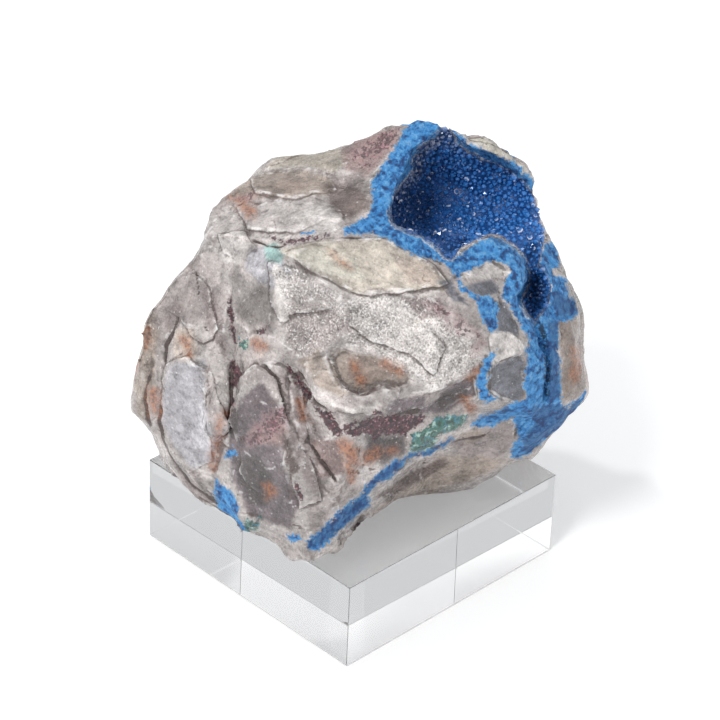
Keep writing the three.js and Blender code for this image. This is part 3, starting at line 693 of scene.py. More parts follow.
broken += WAVE_MM * layered(places, 4.5, 57, layers=2)
broken += GRIT_MM * layered(places, 1.3, 61, layers=2, keep=0.6)
print("cleaving moves corners by", np.round(np.percentile(broken, (2, 50, 98)), 2), "mm")

# %% [markdown]
# ## The ledges of this stone
#
# The eye knows this stone by a few breaks: the thin lip over the wine-red vein, the scallop above it,
# the long ribs, the polished plate on the left. Each is drawn on the photo as an outline that stands
# proud or lies deeper, or as a groove, in millimetres along the surface's own normal. A flake breaks off
# level on one side and stands clear on the other, so each plate leans toward one side of the photo. A crack
# opens and closes along its way.

# %% Drawn ledges and grooves
# Each plate: millimetres proud, softness of its edge in pixels, the way it leans in degrees, its outline
PLATES = {
    "scallop": (-1.7, 1.2, 120, SCALLOP),
    "lip": (1.5, 0.8, 80, [
        (300, 366), (312, 372), (330, 372), (346, 388), (363, 396), (381, 389), (402, 388), (387, 400),
        (375, 408), (353, 415), (332, 409), (317, 400), (303, 382),
    ]),
    "step": (0.8, 0.8, 170, [(270, 262), (282, 262), (290, 300), (289, 322), (282, 322), (270, 300)]),
    "under_step": (0.6, 0.8, 95, [(284, 300), (312, 298), (332, 302), (334, 308), (306, 312), (286, 318)]),
    "left_plate": (0.9, 0.7, 0, [(205, 366), (214, 380), (226, 430), (210, 436), (203, 402)]),
    "white_facet": (0.6, 1.0, 340, [
        (168, 366), (190, 356), (205, 372), (206, 436), (212, 460), (190, 470), (168, 437), (158, 418),
    ]),
    "boss": (1.1, 1.6, 190, [
        (242, 378), (256, 366), (270, 372), (284, 398), (290, 430), (284, 470), (262, 500), (240, 470),
        (234, 420),
    ]),
    "boss_step": (-0.5, 0.8, 250, [(240, 436), (286, 430), (290, 446), (262, 456), (240, 452)]),
    "rib": (0.9, 1.0, 200, [
        (288, 372), (299, 382), (308, 412), (320, 440), (336, 470), (322, 476), (304, 448), (292, 415),
    ]),
    "rib_side": (0.7, 0.9, 250, [(308, 396), (322, 410), (342, 436), (328, 450), (314, 436), (306, 412)]),
    "low_rib": (0.8, 1.0, 30, [(288, 442), (300, 440), (314, 470), (322, 500), (302, 506), (288, 470)]),
    "slab": (1.0, 0.8, 95, SLAB),
    "slate": (-0.8, 0.8, 190, DARK_FACE),
    "white_knob": (0.8, 2.0, 260, [(220, 234), (244, 230), (252, 245), (238, 258), (220, 252)]),
    "knob": (1.8, 8.0, 270, [
        (440, 236), (448, 232), (460, 234), (466, 244), (458, 252), (448, 258), (440, 250),
    ]),
    "finger": (0.5, 1.5, 270, [
        (455, 262), (470, 245), (490, 239), (512, 250), (526, 268), (522, 290), (505, 298), (470, 292),
    ]),
    "flake": (0.9, 0.8, 80, [(237, 510), (258, 519), (255, 525), (236, 518)]),
    "fold": (0.9, 1.2, 65, [
        (276, 250), (330, 240), (380, 238), (412, 254), (436, 270), (448, 284), (430, 288), (400, 292),
        (372, 296), (350, 290), (322, 276), (290, 258),
    ]),
    "fold_back": (0.7, 1.0, 150, [(284, 254), (318, 246), (352, 262), (366, 284), (330, 278), (300, 264)]),
    "dark_ledge": (-1.0, 1.0, 280, DARK_LEDGE),
    "front_flake": (0.7, 0.8, 100, [
        (352, 306), (384, 300), (420, 316), (446, 350), (430, 372), (408, 352), (372, 340), (350, 326),
    ]),
    "slope_flake": (0.5, 1.4, 110, [
        (236, 206), (276, 200), (318, 206), (330, 222), (290, 230), (246, 226),
    ]),
    "upper_flake": (0.5, 1.4, 100, [
        (250, 176), (296, 166), (330, 172), (336, 192), (296, 198), (256, 196),
    ]),
    "left_slope": (0.7, 0.9, 20, [(156, 300), (184, 268), (204, 288), (218, 330), (204, 344), (178, 318)]),
}
# Each groove: millimetres proud, half its width in pixels, its line
GROOVES = {
    "vein": (-0.5, 3.6, [
        (287, 366), (301, 384), (317, 406), (339, 434), (358, 424), (385, 421), (420, 416),
    ]),
    "left_crack": (-1.0, 2.6, [
        (230, 300), (232, 325), (238, 345), (230, 370), (232, 400), (226, 430), (215, 470),
    ]),
    "rib_crack": (-0.8, 2.0, [(264, 366), (277, 378), (286, 400), (291, 425), (287, 450), (292, 480)]),
    "long_crack": (-0.8, 1.9, [(297, 398), (303, 415), (309, 442), (320, 462), (336, 478)]),
    "ridge_crack": (-0.6, 1.6, [(252, 236), (275, 243), (300, 243), (330, 238), (360, 236)]),
    "band_gap": (-1.8, 2.4, [(538, 320), (544, 338), (547, 356), (547, 398)]),
    "plate_crack": (-0.3, 1.3, [(204, 368), (203, 402), (205, 436), (200, 466)]),
    "left_fold": (-0.6, 2.2, [
        (176, 318), (166, 345), (163, 380), (160, 420), (168, 452), (186, 480), (212, 506),
    ]),
    "left_lobe": (-0.6, 2.2, [(148, 330), (152, 365), (146, 400), (152, 428)]),
    "slope_crack": (-0.3, 1.3, [(190, 268), (194, 300), (203, 325), (214, 350)]),
    "high_vein": (-0.4, 2.2, [(398, 469), (412, 457), (430, 452), (450, 438)]),
    "low_crack": (-0.4, 1.4, [(425, 470), (440, 452), (468, 440), (500, 424)]),
}
NO_EDGE = -3.0
CRACK_LEAST = 0.25
CRACK_FLANK = 1.6
LEDGE_WANDER = 1.9
warped = pixels + LEDGE_WANDER * layered_rows(places, 3.0, 90, width=2, layers=3)
crack_open = CRACK_LEAST + (1 - CRACK_LEAST) * eased(layered(places, 4.0, 95, layers=2), -0.35, 0.35)
drawn = np.zeros(len(places))
flake_stand = np.zeros(len(places))
flake_depth = np.full(len(places), NO_EDGE)
crack_depth = np.full(len(places), NO_EDGE)
for proud, softness, lean, outline in PLATES.values():
    side = np.array([math.cos(math.radians(lean)), math.sin(math.radians(lean))])
    reach = np.array(outline) @ side
    share = np.clip((pixels @ side - reach.min()) / (reach.max() - reach.min()), 0, 1)
    depth = depth_inside(warped, outline)
    drawn += proud * share * eased(depth, -softness, softness)
    nearer = depth * pixel_size > flake_depth
    flake_depth = np.where(nearer, depth * pixel_size, flake_depth)
    flake_stand = np.where(nearer, share, flake_stand)
for proud, half_width, line in GROOVES.values():
    gap = distance_to_line(warped, line)
    drawn += proud * crack_open * (1 - eased(gap, 0, half_width * CRACK_FLANK))
    crack_depth = np.maximum(crack_depth, (crack_open * half_width - gap) * pixel_size)
drawn *= eased(facing, 0.05, 0.3)
print("drawn relief in mm:", round(float(drawn.min()), 2), "to", round(float(drawn.max()), 2))

# %% Move the corners
LINING_SHARE = 0.2
LINING_GRAIN_MM = 0.34
SUNK_MM = 0.1
STILL_BELOW_MM = 17.2
FREE_ABOVE_MM = 19.5
lining = LINING_SHARE * broken + LINING_GRAIN_MM * layered(places, 1.3, 311, layers=2)
relief = np.where(on_crust, lining, broken - SUNK_MM) + drawn
relief *= eased(places[:, 2], STILL_BELOW_MM, FREE_ABOVE_MM)
low_stone = np.array([cad_low.x, cad_low.y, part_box("quartz_matrix")[0].z]) / MM
high_stone = np.array(cad_high) / MM
places = np.clip(places + normals * relief[:, None], low_stone, high_stone)
normals = moved_corners(fine, places)
bulge = dotted(places - averaged(places, ends, rounds=4, pull=0.7), normals)
print("relief in mm:", round(float(relief.min()), 2), "to", round(float(relief.max()), 2))
print("bulge in mm:", np.round(np.percentile(bulge, (2, 25, 75, 98)), 3))

# %% [markdown]
# ## Stains as depths
#
# Each pigment becomes one number per corner: how deep it lies inside that pigment's outlines, in
# millimetres. The shader turns it into colour at a threshold that noise shifts. The photo shows one side
# only, so the far side gets veins and stains from noise in the same proportions.

# %% Depth fields
FAR_BELOW = -6.0
VEIN_SLOPE = 0.5
VEIN_SWELLING = 1.6
BLOT_SLOPE = 0.35
FACES_PHOTO = 0.05
FREE_SEAM = 0.7
STAIN_WANDER = 2.1
pixels = on_photo(places)
warped = pixels + STAIN_WANDER * layered_rows(places, 3.0, 70, width=2, layers=4, keep=0.6)
seen = eased(facing, -0.12, 0.12)


def deepest(depths):
    """The greatest of several depths at each corner, from photo pixels to millimetres."""
    return np.maximum(FAR_BELOW, np.max(list(depths), axis=0) * pixel_size)


def line_depth(lines):
    """Depth inside the thickest of several drawn lines."""
    return deepest(half_width - distance_to_line(warped, line) for half_width, line in lines.values())


def outline_depth(outlines):
    """Depth inside the union of several outlines."""
    return deepest(depth_inside(warped, outline) for outline in outlines.values())


def vein_depth(size, seed, half_width):
    """Depth inside thin winding sheets of changing width that run through the whole stone."""
    sheet = np.abs(layered(places, size, seed)) * size * VEIN_SLOPE
    return half_width * (1 + VEIN_SWELLING * layered(places, 6.0, seed + 9, layers=3)) - sheet


def blot_depth(size, seed, above):
    """Depth inside scattered blots."""
    return (layered(places, size, seed, layers=3) - above) * size * BLOT_SLOPE


def blended(front, back):
    """The drawn field where the photo sees the surface, and the noise field behind."""
    return np.clip(front * seen + back * (1 - seen), FAR_BELOW, -FAR_BELOW)


crossing = big_labels[ends[:, 0]] != big_labels[ends[:, 1]]
seam = np.zeros(len(places))
seam[ends[crossing].ravel()] = 1.0
seam = averaged(seam, ends, rounds=1, pull=0.4) * np.where(from_photo, 1.0, FREE_SEAM)
nowhere = np.full(len(places), FAR_BELOW)
blue_front = np.maximum(outline_depth(BLUE_OUTLINES), line_depth(BLUE_LINES))
blue_back = np.minimum(vein_depth(34, 101, half_width=1.1), blot_depth(16, 107, above=-0.25))
wine_front = np.maximum(line_depth(WINE_LINES), outline_depth(WINE_OUTLINES))
wine_back = np.minimum(vein_depth(22, 131, half_width=1.0), blot_depth(14, 137, above=0.0))
fields = {
    "blue": blended(blue_front, np.maximum(blue_back, np.where(on_crust, 1.0, FAR_BELOW))),
    # deep: painted shade on the blue; gap: a painted shadow in the band's gap
    "deep": blended(outline_depth(BLUE_SHADE_OUTLINES), nowhere),
    "gap": blended(line_depth(GAP_SHADOW_LINES), nowhere),
    "wine": blended(wine_front, wine_back),
    "blush": blended(outline_depth(BLUSH_OUTLINES), blot_depth(12, 161, above=0.7)),
    "sugar": blended(outline_depth(SUGAR_OUTLINES), blot_depth(15, 167, above=0.0)),
    "rust": blended(line_depth(RUST_LINES), blot_depth(9, 151, above=0.75)),
    "green": blended(outline_depth(GREEN_OUTLINES), blot_depth(8, 171, above=1.05)),
    "hollow": np.where(on_crust & (facing > TURNED_AWAY), hollow_depth, FAR_BELOW),
    "bulge": bulge,
    "seam": seam,
    "flake": np.where(facing > FACES_PHOTO, flake_depth, NO_EDGE),
    "stand": flake_stand,
    "split": np.where(facing > FACES_PHOTO, crack_depth, NO_EDGE),
}


def write_field(mesh, name, values):
    """One number for each corner of a mesh, which a shader reads by name."""
    mesh.attributes.new(name, "FLOAT", "POINT").data.foreach_set("value", values.astype(np.float32))


for name, values in fields.items():
    write_field(fine, name, values)
    print(name, "covers", round(100 * float((values > 0).mean()), 1), "% of the corners")

# %% [markdown]
# ## The ground colours of the quartz
#
# Between the veins the quartz itself changes from milky to smoky. Those changes are soft, so each area is
# an outline with a wide edge, painted one over the other into one colour per corner. The areas were toned
# to the stone as it was lit, so part of their light and dark is painted light and shade. Each facet also
# catches the light in its own way, so every one gets its own painted shade and gradient.

# %% Ground colours
def linear(red, green, blue):
    """A colour of the photo, 0 to 255, as the linear light that a shader works with."""
    return tuple(
        part / 12.92 if part <= 0.04045 else ((part + 0.055) / 1.055) ** 2.4
        for part in (red / 255, green / 255, blue / 255)
    )


MILKY = linear(206, 198, 195)
WHITE = linear(230, 223, 219)
PEARL = linear(190, 187, 193)
ASH = linear(180, 170, 167)
CLAY = linear(158, 146, 144)
SMOKY = linear(156, 139, 129)
UMBER = linear(112, 97, 92)
SLATE = linear(106, 109, 119)
MAUVE = linear(118, 105, 110)
DUSK = linear(88, 80, 80)
BEIGE = linear(192, 182, 169)
STRAW = linear(216, 210, 197)
CELADON = linear(150, 184, 180)
PEWTER = linear(136, 129, 126)
CREAM = linear(204, 190, 180)
ROSE = linear(166, 143, 139)
TAN = linear(176, 161, 150)

# Each area: its tone, the softness of its edge in pixels, its outline
GROUND = [
    (MILKY, 5, [(205, 236), (222, 205), (260, 205), (300, 198), (345, 215), (340, 232), (270, 243)]),
    (WHITE, 6, [(290, 215), (320, 206), (348, 218), (335, 230), (300, 228)]),
    (TAN, 4, [
        (232, 195), (240, 182), (262, 172), (300, 168), (330, 178), (333, 194), (300, 198), (256, 198),
    ]),
    (SMOKY, 3, [(270, 184), (296, 178), (306, 190), (276, 194)]),
    (BEIGE, 5, [(262, 168), (282, 152), (320, 146), (348, 136), (362, 150), (336, 172), (300, 166)]),
    (ROSE, 4, [(340, 142), (400, 126), (394, 150), (376, 168), (366, 178), (345, 168)]),
    (UMBER, 9, [(322, 186), (345, 180), (368, 188), (368, 210), (350, 222), (334, 212)]),
    (CLAY, 4, [(330, 176), (366, 172), (368, 186), (340, 186)]),
    (WHITE, 3, [(220, 234), (244, 230), (250, 245), (240, 266), (226, 262), (214, 248)]),
    (BEIGE, 4, [
        (275, 250), (330, 240), (380, 238), (412, 256), (446, 276), (448, 292), (400, 291), (350, 292),
        (322, 276),
    ]),
    (STRAW, 6, [(284, 254), (330, 244), (356, 258), (366, 280), (330, 276), (300, 264)]),
    (TAN, 4, [(392, 250), (412, 258), (438, 276), (436, 290), (408, 284)]),
    (MILKY, 6, [(290, 262), (330, 290), (345, 300), (330, 310), (296, 300), (284, 280)]),
    (PEARL, 4, [(248, 250), (276, 248), (290, 270), (276, 290), (256, 282), (246, 266)]),
    (CELADON, 3, [(264, 247), (276, 244), (286, 254), (280, 263), (268, 260)]),
    (WHITE, 5, [
        (345, 298), (430, 296), (470, 330), (485, 350), (470, 372), (430, 395), (400, 375), (370, 340),
    ]),
    (ASH, 5, [(290, 318), (330, 310), (352, 330), (330, 350), (300, 356), (286, 340)]),
    (SLATE, 2, [(437, 281), (450, 280), (460, 296), (470, 306), (452, 300)]),
    (CLAY, 4, [(400, 296), (440, 300), (450, 316), (420, 320)]),
    (PEWTER, 7, [(238, 298), (258, 286), (274, 292), (272, 320), (248, 328), (238, 316)]),
    (WHITE, 2, [(274, 262), (284, 268), (290, 296), (288, 322), (281, 322), (276, 300)]),
    (TAN, 4, SCALLOP),
    (SMOKY, 4, [(348, 358), (376, 360), (398, 374), (384, 380), (362, 386), (348, 376)]),
    (ASH, 3, [
        (300, 366), (322, 368), (346, 392), (363, 404), (392, 392), (402, 390), (380, 408), (352, 414),
    ]),
    (WHITE, 1.5, [
        (304, 378), (318, 396), (334, 405), (353, 410), (375, 403), (390, 395), (376, 408), (353, 415),
        (332, 409), (316, 400),
    ]),
    (TAN, 3, [(298, 358), (320, 352), (334, 374), (350, 394), (338, 396), (316, 384)]),
    (TAN, 6, [(140, 320), (150, 300), (165, 290), (160, 330), (150, 400), (140, 430), (133, 380)]),
    (ASH, 6, [
        (152, 300), (170, 262), (190, 250), (215, 270), (228, 300), (226, 350), (200, 320), (175, 330),
        (160, 360),
    ]),
    (CLAY, 4, [(200, 285), (214, 290), (226, 330), (228, 356), (214, 340), (204, 310)]),
    (CLAY, 4, [(166, 310), (176, 296), (184, 310), (172, 330), (164, 350)]),
    (CREAM, 4, [(174, 330), (192, 326), (200, 350), (190, 366), (172, 360)]),
    (PEARL, 5, [(168, 366), (205, 360), (226, 430), (214, 462), (192, 470), (170, 440), (160, 415)]),
    (ASH, 3, [(207, 370), (214, 382), (226, 430), (212, 436), (203, 402)]),
    (CLAY, 4, [(166, 456), (200, 474), (214, 505), (192, 500)]),
    (ASH, 4, [(236, 366), (262, 358), (282, 366), (296, 392), (284, 400), (262, 380), (244, 382)]),
    (MAUVE, 5, [
        (240, 400), (262, 380), (288, 420), (284, 470), (300, 500), (290, 530), (250, 516), (232, 480),
        (228, 440),
    ]),
    (DUSK, 5, [(238, 456), (262, 456), (274, 480), (270, 508), (250, 504), (238, 480)]),
    (ROSE, 5, [(248, 430), (285, 415), (292, 430), (284, 446), (256, 442)]),
    (DUSK, 1.5, [(227, 408), (240, 410), (240, 434), (230, 442)]),
    (CLAY, 4, [(276, 376), (292, 372), (320, 430), (335, 470), (318, 500), (300, 470), (290, 430)]),
    (UMBER, 2, [(284, 430), (292, 440), (298, 470), (290, 476), (284, 456)]),
    (ROSE, 4, [(312, 440), (338, 440), (346, 474), (320, 476)]),
    (ASH, 4, [(320, 480), (350, 480), (370, 486), (340, 510), (318, 535), (308, 530), (310, 500)]),
    (DUSK, 7, [(364, 436), (404, 436), (408, 450), (385, 464), (366, 462)]),
    (MAUVE, 3, DARK_LEDGE + [(387, 413)]),
    (DUSK, 3, [(436, 394), (466, 384), (468, 396), (440, 412)]),
    (ASH, 2, [(423, 394), (443, 390), (440, 400), (426, 406)]),
    (WHITE, 2, SLAB),
    (SLATE, 2, DARK_FACE),
    (WHITE, 2, [(461, 276), (474, 269), (487, 261), (504, 265), (509, 272), (500, 279), (480, 279)]),
    (SLATE, 4, [(464, 287), (476, 282), (492, 280), (500, 286), (498, 294), (484, 296), (470, 292)]),
    (SLATE, 2, [(495, 302), (506, 303), (518, 326), (516, 334), (498, 330)]),
    (STRAW, 4, [(462, 134), (478, 134), (500, 145), (520, 160), (530, 178), (512, 162), (490, 150)]),
    (SMOKY, 3, [(560, 322), (578, 318), (590, 345), (594, 380), (584, 392), (570, 404), (562, 398)]),
    (ASH, 3, [(576, 318), (590, 340), (592, 360), (584, 360), (576, 340)]),
    (CLAY, 5, [(450, 440), (480, 430), (514, 420), (514, 444), (500, 458), (460, 456)]),
    (TAN, 4, [(456, 434), (480, 428), (490, 436), (466, 444)]),
    (TAN, 6, [
        (340, 545), (380, 505), (440, 455), (480, 455), (512, 460), (470, 480), (420, 500), (360, 530),
    ]),
    (UMBER, 3, [(376, 496), (410, 474), (440, 458), (452, 462), (420, 482), (390, 500)]),
]
# Each tone of the unseen side: its size in millimetres and the seed of its noise
HIDDEN_TONES = [
    (TAN, 13.0, 211), (MAUVE, 17.0, 223), (BEIGE, 9.0, 227), (SMOKY, 12.0, 229), (CLAY, 7.0, 233),
]
EDGE_SHARE = 0.55
HIDDEN_COVER = 0.8
DRAWN_COVER = 0.92
ground = np.tile(np.array(MILKY), (len(places), 1))


def painted(ground, tone, share):
    """The ground colour with a tone laid over it by its share at each corner."""
    return ground + (np.array(tone) - ground) * share[:, None]


ground = painted(ground, ASH, HIDDEN_COVER * eased(layered(places, 11.0, 201), -0.5, 0.9))
for tone, size, seed in HIDDEN_TONES:
    share = eased(layered(places, size, seed, layers=3), 0.25, 0.75) * (1 - seen)
    ground = painted(ground, tone, HIDDEN_COVER * share)
for tone, softness, outline in GROUND:
    reach = softness * EDGE_SHARE
    share = eased(depth_inside(warped, outline), -reach, reach) * seen
    ground = painted(ground, tone, DRAWN_COVER * share)
print("ground painted with", len(GROUND), "areas")

# %% Each facet's own shade
LAMP_GAIN = 0.80
BIG_GRADIENT = 0.10
SMALL_GRADIENT = 0.09
DRAWN_LIFT = 0.04
shades = np.random.default_rng(7)


def facet_gradient(labels, reach):
    """From -1 at one side of each facet to 1 at the other, along a direction of its own."""
    middle = region_means(labels, places)
    along = unit(shades.normal(size=middle.shape))
    return np.clip(dotted(places - middle[labels], along[labels]) / reach, -1, 1)


# Painted shade: each facet lighter or darker as a whole and along a gradient, as tilted planes catch light
big_shade = shades.uniform(0.72, 1.12, big_labels.max() + 1)[big_labels]
small_shade = shades.uniform(0.76, 1.12, small_labels.max() + 1)[small_labels]
shade = np.where(from_photo, (1 + big_shade) / 2 + DRAWN_LIFT, big_shade) * small_shade * LAMP_GAIN
big_gradient = BIG_GRADIENT * facet_gradient(big_labels, 3.5)
small_gradient = SMALL_GRADIENT * facet_gradient(small_labels, 1.2)
shade *= 1 + big_gradient + small_gradient
ground *= shade[:, None]
colours = fine.color_attributes.new("ground", "FLOAT_COLOR", "POINT")
rgba = np.concatenate([ground, np.ones((len(ground), 1))], axis=1)
colours.data.foreach_set("color", rgba.astype(np.float32).ravel())
print("facet shades from", round(float(shade.min()), 2), "to", round(float(shade.max()), 2))


# %% [markdown]
# ## Writing shader maths as Python
#
# A shader is a graph of nodes. Wiring it by hand is slow to read, so a small class wraps an output
# socket: adding or multiplying two of them adds the Math node that does it.

# %% A socket that can be calculated with
class Value:
    """An output socket with one number, which the usual signs work on."""

    def __init__(self, bench, socket):
        self.bench = bench
        self.socket = socket

    def _math(self, operation, first, second):
        node = self.bench.node("ShaderNodeMath", {"operation": operation}, {0: first, 1: second})
        return Value(self.bench, node.outputs[0])

    def __add__(self, other):
        return self._math("ADD", self, other)

    __radd__ = __add__

    def __sub__(self, other):
        return self._math("SUBTRACT", self, other)

    def __rsub__(self, other):
        return self._math("SUBTRACT", other, self)

    def __mul__(self, other):
        return self._math("MULTIPLY", self, other)

    __rmul__ = __mul__


class Bench:
    """Makes the nodes of one material."""

    def __init__(self, name):
        self.material = bpy.data.materials.new(name)
        self.material.use_nodes = True
        self.tree = self.material.node_tree
        self.tree.nodes.clear()
        self.place = self.node("ShaderNodeTexCoord").outputs["Object"]

    def node(self, kind, settings=None, inputs=None):
        """One node: its settings first, then the values or links of its sockets."""
        made = self.tree.nodes.new(kind)
        for key, value in (settings or {}).items():
            setattr(made, key, value)
        for key, value in (inputs or {}).items():
            self.feed(made.inputs[key], value)
        return made

    def feed(self, socket, value):
        if isinstance(value, Value):
            value = value.socket
        if isinstance(value, bpy.types.NodeSocket):
            self.tree.links.new(value, socket)
        else:
            socket.default_value = value

    def attribute(self, name):
        return Value(self, self.node("ShaderNodeAttribute", {"attribute_name": name}).outputs["Fac"])

    def noise(self, size_mm, detail=3.0, roughness=0.55, distortion=0.0, place=None):
        """Noise about 0 that seldom leaves -1 to 1."""
        node = self.node("ShaderNodeTexNoise", {}, {
            "Vector": self.place if place is None else place,
            "Scale": 1 / (size_mm * MM),
            "Detail": detail,
            "Roughness": roughness,
            "Distortion": distortion,
        })
        return (Value(self, node.outputs["Fac"]) - 0.5) * 4

    def streaks(self, size_mm, stretch, turn):
        """Noise drawn out along the first axis of a turned frame."""
        turned = self.node("ShaderNodeMapping", {"vector_type": "TEXTURE"}, {
            "Vector": self.place,
            "Rotation": turn,
            "Scale": (stretch, 1, 1),
        })
        return self.noise(size_mm, 4.0, 0.6, 0.4, turned.outputs["Vector"])

    def cells(self, size_mm, feature="F1"):
        """The node of a net of random cells."""
        sockets = {"Vector": self.place, "Scale": 1 / (size_mm * MM)}
        return self.node("ShaderNodeTexVoronoi", {"feature": feature}, sockets)

    def cell_share(self, cell_node):
        """One random number from 0 to 1 for each cell."""
        parts = self.node("ShaderNodeSeparateColor", {}, {"Color": cell_node.outputs["Color"]})
        return Value(self, parts.outputs["Red"])

    def scaled(self, colour, factor):
        """A colour made lighter or darker by a factor."""
        sockets = {"Vector": colour, "Scale": factor}
        return self.node("ShaderNodeVectorMath", {"operation": "SCALE"}, sockets).outputs["Vector"]

    def step(self, value, low, high):
        """0 below low, 1 above high and smooth between."""
        node = self.node("ShaderNodeMapRange", {"interpolation_type": "SMOOTHSTEP"}, {
            "Value": value,
            "From Min": low,
            "From Max": high,
        })
        return Value(self, node.outputs["Result"])

    def mixed(self, share, first, second):
        """A colour between two colours."""
        node = self.node("ShaderNodeMix", {"data_type": "RGBA"})
        for name, value in (("Factor", share), ("A", first), ("B", second)):
            socket = next(s for s in node.inputs if s.name == name and s.enabled)
            self.feed(socket, (*value, 1) if isinstance(value, tuple) and len(value) == 3 else value)
        return next(s for s in node.outputs if s.enabled)

    def laid(self, colour, pigment, mask, strength):
        """The colour with a pigment laid over it where its mask is."""
        return self.mixed(mask * strength, colour, pigment)

    def finish(self, sockets):
        """The material, with one Principled shader whose sockets are set as given."""
        surface = self.node("ShaderNodeBsdfPrincipled", {}, sockets)
        self.node("ShaderNodeOutputMaterial", {}, {"Surface": surface.outputs[0]})
        return self.material


# %% [markdown]
# ## The finish of the broken stone
#
# One finish serves the quartz and the crust, because both read the same depth fields. It starts from
# the ground colour, adds the sugary mottling of broken quartz, then lays on each pigment.

# %% Pigments
SKY = linear(72, 162, 232)
SEA = linear(32, 106, 176)
DEEP_SEA = linear(16, 56, 112)
PALE_SKY = linear(142, 198, 238)
NAVY = linear(30, 78, 140)
ROYAL = linear(60, 134, 212)
# Near black for the painted shadow in the band's gap
SHADOW_BLACK = linear(12, 18, 34)
WINE_DARK = linear(46, 26, 34)
WINE = linear(86, 46, 56)
WINE_PALE = linear(168, 122, 130)
RUST_DARK = linear(100, 54, 34)
RUST_PALE = linear(168, 104, 62)
MALACHITE = linear(40, 104, 92)
TEAL = linear(52, 122, 144)
MOSS = linear(24, 66, 54)
MINT = linear(176, 208, 196)
# White of the sugary grains and the pale rim crust, also the colour of painted highlights and sparkles
WHITE_AND_HIGHLIGHT = linear(248, 246, 246)
# Painted shade for crevices, the ground just outside flakes and open cracks
CREVICE_SHADE = linear(72, 60, 56)


# %% [markdown]
# ## Sugar, streaks and cracks
#
# Broken quartz is never one tone. It has clouds some millimetres across, streaks where it grew in
# layers, and thin dark cracks. Where it breaks into a thousand tiny faces it looks like sugar: bright
# and dark specks a third of a millimetre across. The bright specks are partly the grains' own white
# and partly painted glints, and small white spots are painted sparkles.

# %% Texture of bare quartz
LAYER_SLOPE = (0.92, -0.38)
STREAK_LENGTH = 6.0
layer_along = (photo_right * LAYER_SLOPE[0] + photo_up * LAYER_SLOPE[1]).normalized()
layer_across = toward_viewer.cross(layer_along).normalized()
layer_frame = Matrix((layer_along, layer_across, layer_along.cross(layer_across))).transposed()
layer_turn = tuple(layer_frame.to_euler())


def quartz_colour(bench, tones):
    """The ground colour with clouds, streaks, sugar, painted sparkles, pits and fine cracks."""
    colour = bench.node("ShaderNodeAttribute", {"attribute_name": "ground"}).outputs["Color"]
    shade = 1 + tones["cloud"] * 0.26 + tones["coarse"] * 0.26 + tones["fine"] * 0.22
    shade = shade + tones["streak"] * 0.26 + tones["speck"] * 0.22 + tones["sugar"] * tones["speck"] * 0.50
    colour = bench.scaled(colour, shade)
    # White specks of the sugary quartz, partly its own white grains and partly painted glints
    sugar = bench.step(tones["speck"] + tones["fine"] * 0.4 + tones["sugar"] * 0.35, 0.62, 0.95)
    colour = bench.laid(colour, WHITE_AND_HIGHLIGHT, sugar, strength=0.12 + tones["sugar"] * 0.54)
    # Painted glints: small white sparkle spots in some cells
    glint_cells = bench.cells(0.9)
    glint_size = bench.cell_share(glint_cells) * 0.20 - 0.03
    glint_dots = bench.step(Value(bench, glint_cells.outputs["Distance"]) - glint_size, 0.04, -0.04)
    colour = bench.laid(colour, WHITE_AND_HIGHLIGHT, glint_dots, strength=0.42)
    pits = bench.step(tones["fine"] - tones["speck"] * 0.6 + tones["sugar"] * 0.2, 0.6, 1.0)
    colour = bench.laid(colour, SMOKY, pits, strength=0.25 + tones["sugar"] * 0.25)
    crack = bench.step(tones["crack"] + tones["fine"] * 0.03, 0.030, 0.0)
    crack = crack * bench.step(tones["cloud"] + tones["coarse"] * 0.5, 0.15, 0.6)
    return bench.laid(colour, UMBER, crack, strength=0.6)


# %% Painted light and shade on the edges of flakes and facets
def painted_edge_light_and_shade(bench, colour, tones):
    """The colour with painted highlights and painted shade on ridges, crevices, seams, flakes and cracks.
    """
    bulge_value = bench.attribute("bulge") + tones["fine"] * 0.02
    # Painted highlight on convex ridges and painted shade in crevices, read from the bulge
    ridge_highlight = bench.step(bulge_value, 0.03, 0.15)
    crevice = bench.step(bulge_value, -0.02, -0.13)
    # Along facet seams: painted highlight on some stretches and painted shade on others
    seam = bench.step(bench.attribute("seam"), 0.55, 0.95)
    seam_tone = tones["coarse"] + tones["fine"] * 0.3
    colour = bench.laid(colour, WHITE_AND_HIGHLIGHT, ridge_highlight * bench.step(tones["coarse"], -0.3, 0.4), strength=0.22)
    colour = bench.laid(colour, WHITE_AND_HIGHLIGHT, seam * bench.step(seam_tone, 0.0, 0.45), strength=0.45)
    colour = bench.laid(colour, UMBER, seam * bench.step(seam_tone, 0.0, -0.45), strength=0.55)
    colour = bench.laid(colour, CREVICE_SHADE, crevice, strength=0.7)
    # Painted highlight on the proud edge of each flake and a painted shadow just outside it
    flake = bench.attribute("flake") + tones["fine"] * 0.05
    stand = bench.attribute("stand")
    lit_edge = bench.step(flake, -0.02, 0.06) * bench.step(flake, 0.34, 0.16) * stand
    colour = bench.laid(colour, WHITE_AND_HIGHLIGHT, lit_edge * bench.step(tones["coarse"], -0.2, 0.4), strength=0.55)
    shadow = bench.step(flake, -0.02, -0.08) * bench.step(flake, -0.36, -0.16) * stand
    colour = bench.laid(colour, CREVICE_SHADE, shadow, strength=0.8)
    # Painted shade inside the drawn cracks
    split = bench.step(bench.attribute("split") + tones["fine"] * 0.06, 0.0, 0.10)
    return bench.laid(colour, CREVICE_SHADE, split, strength=0.85)


# %% [markdown]
# ## Stains
#
# Rust soaks in from cracks, so it fades out softly and gathers in crevices. The wine-red mineral and the
# green one are grains packed together, so each grain of a fine cell net gets its own shade, and toward
# the edge of a stain fewer and fewer grains have it.

# %% Rust, wine and green
FIRST_GRAIN_MM = 0.5
SECOND_GRAIN_MM = 0.33


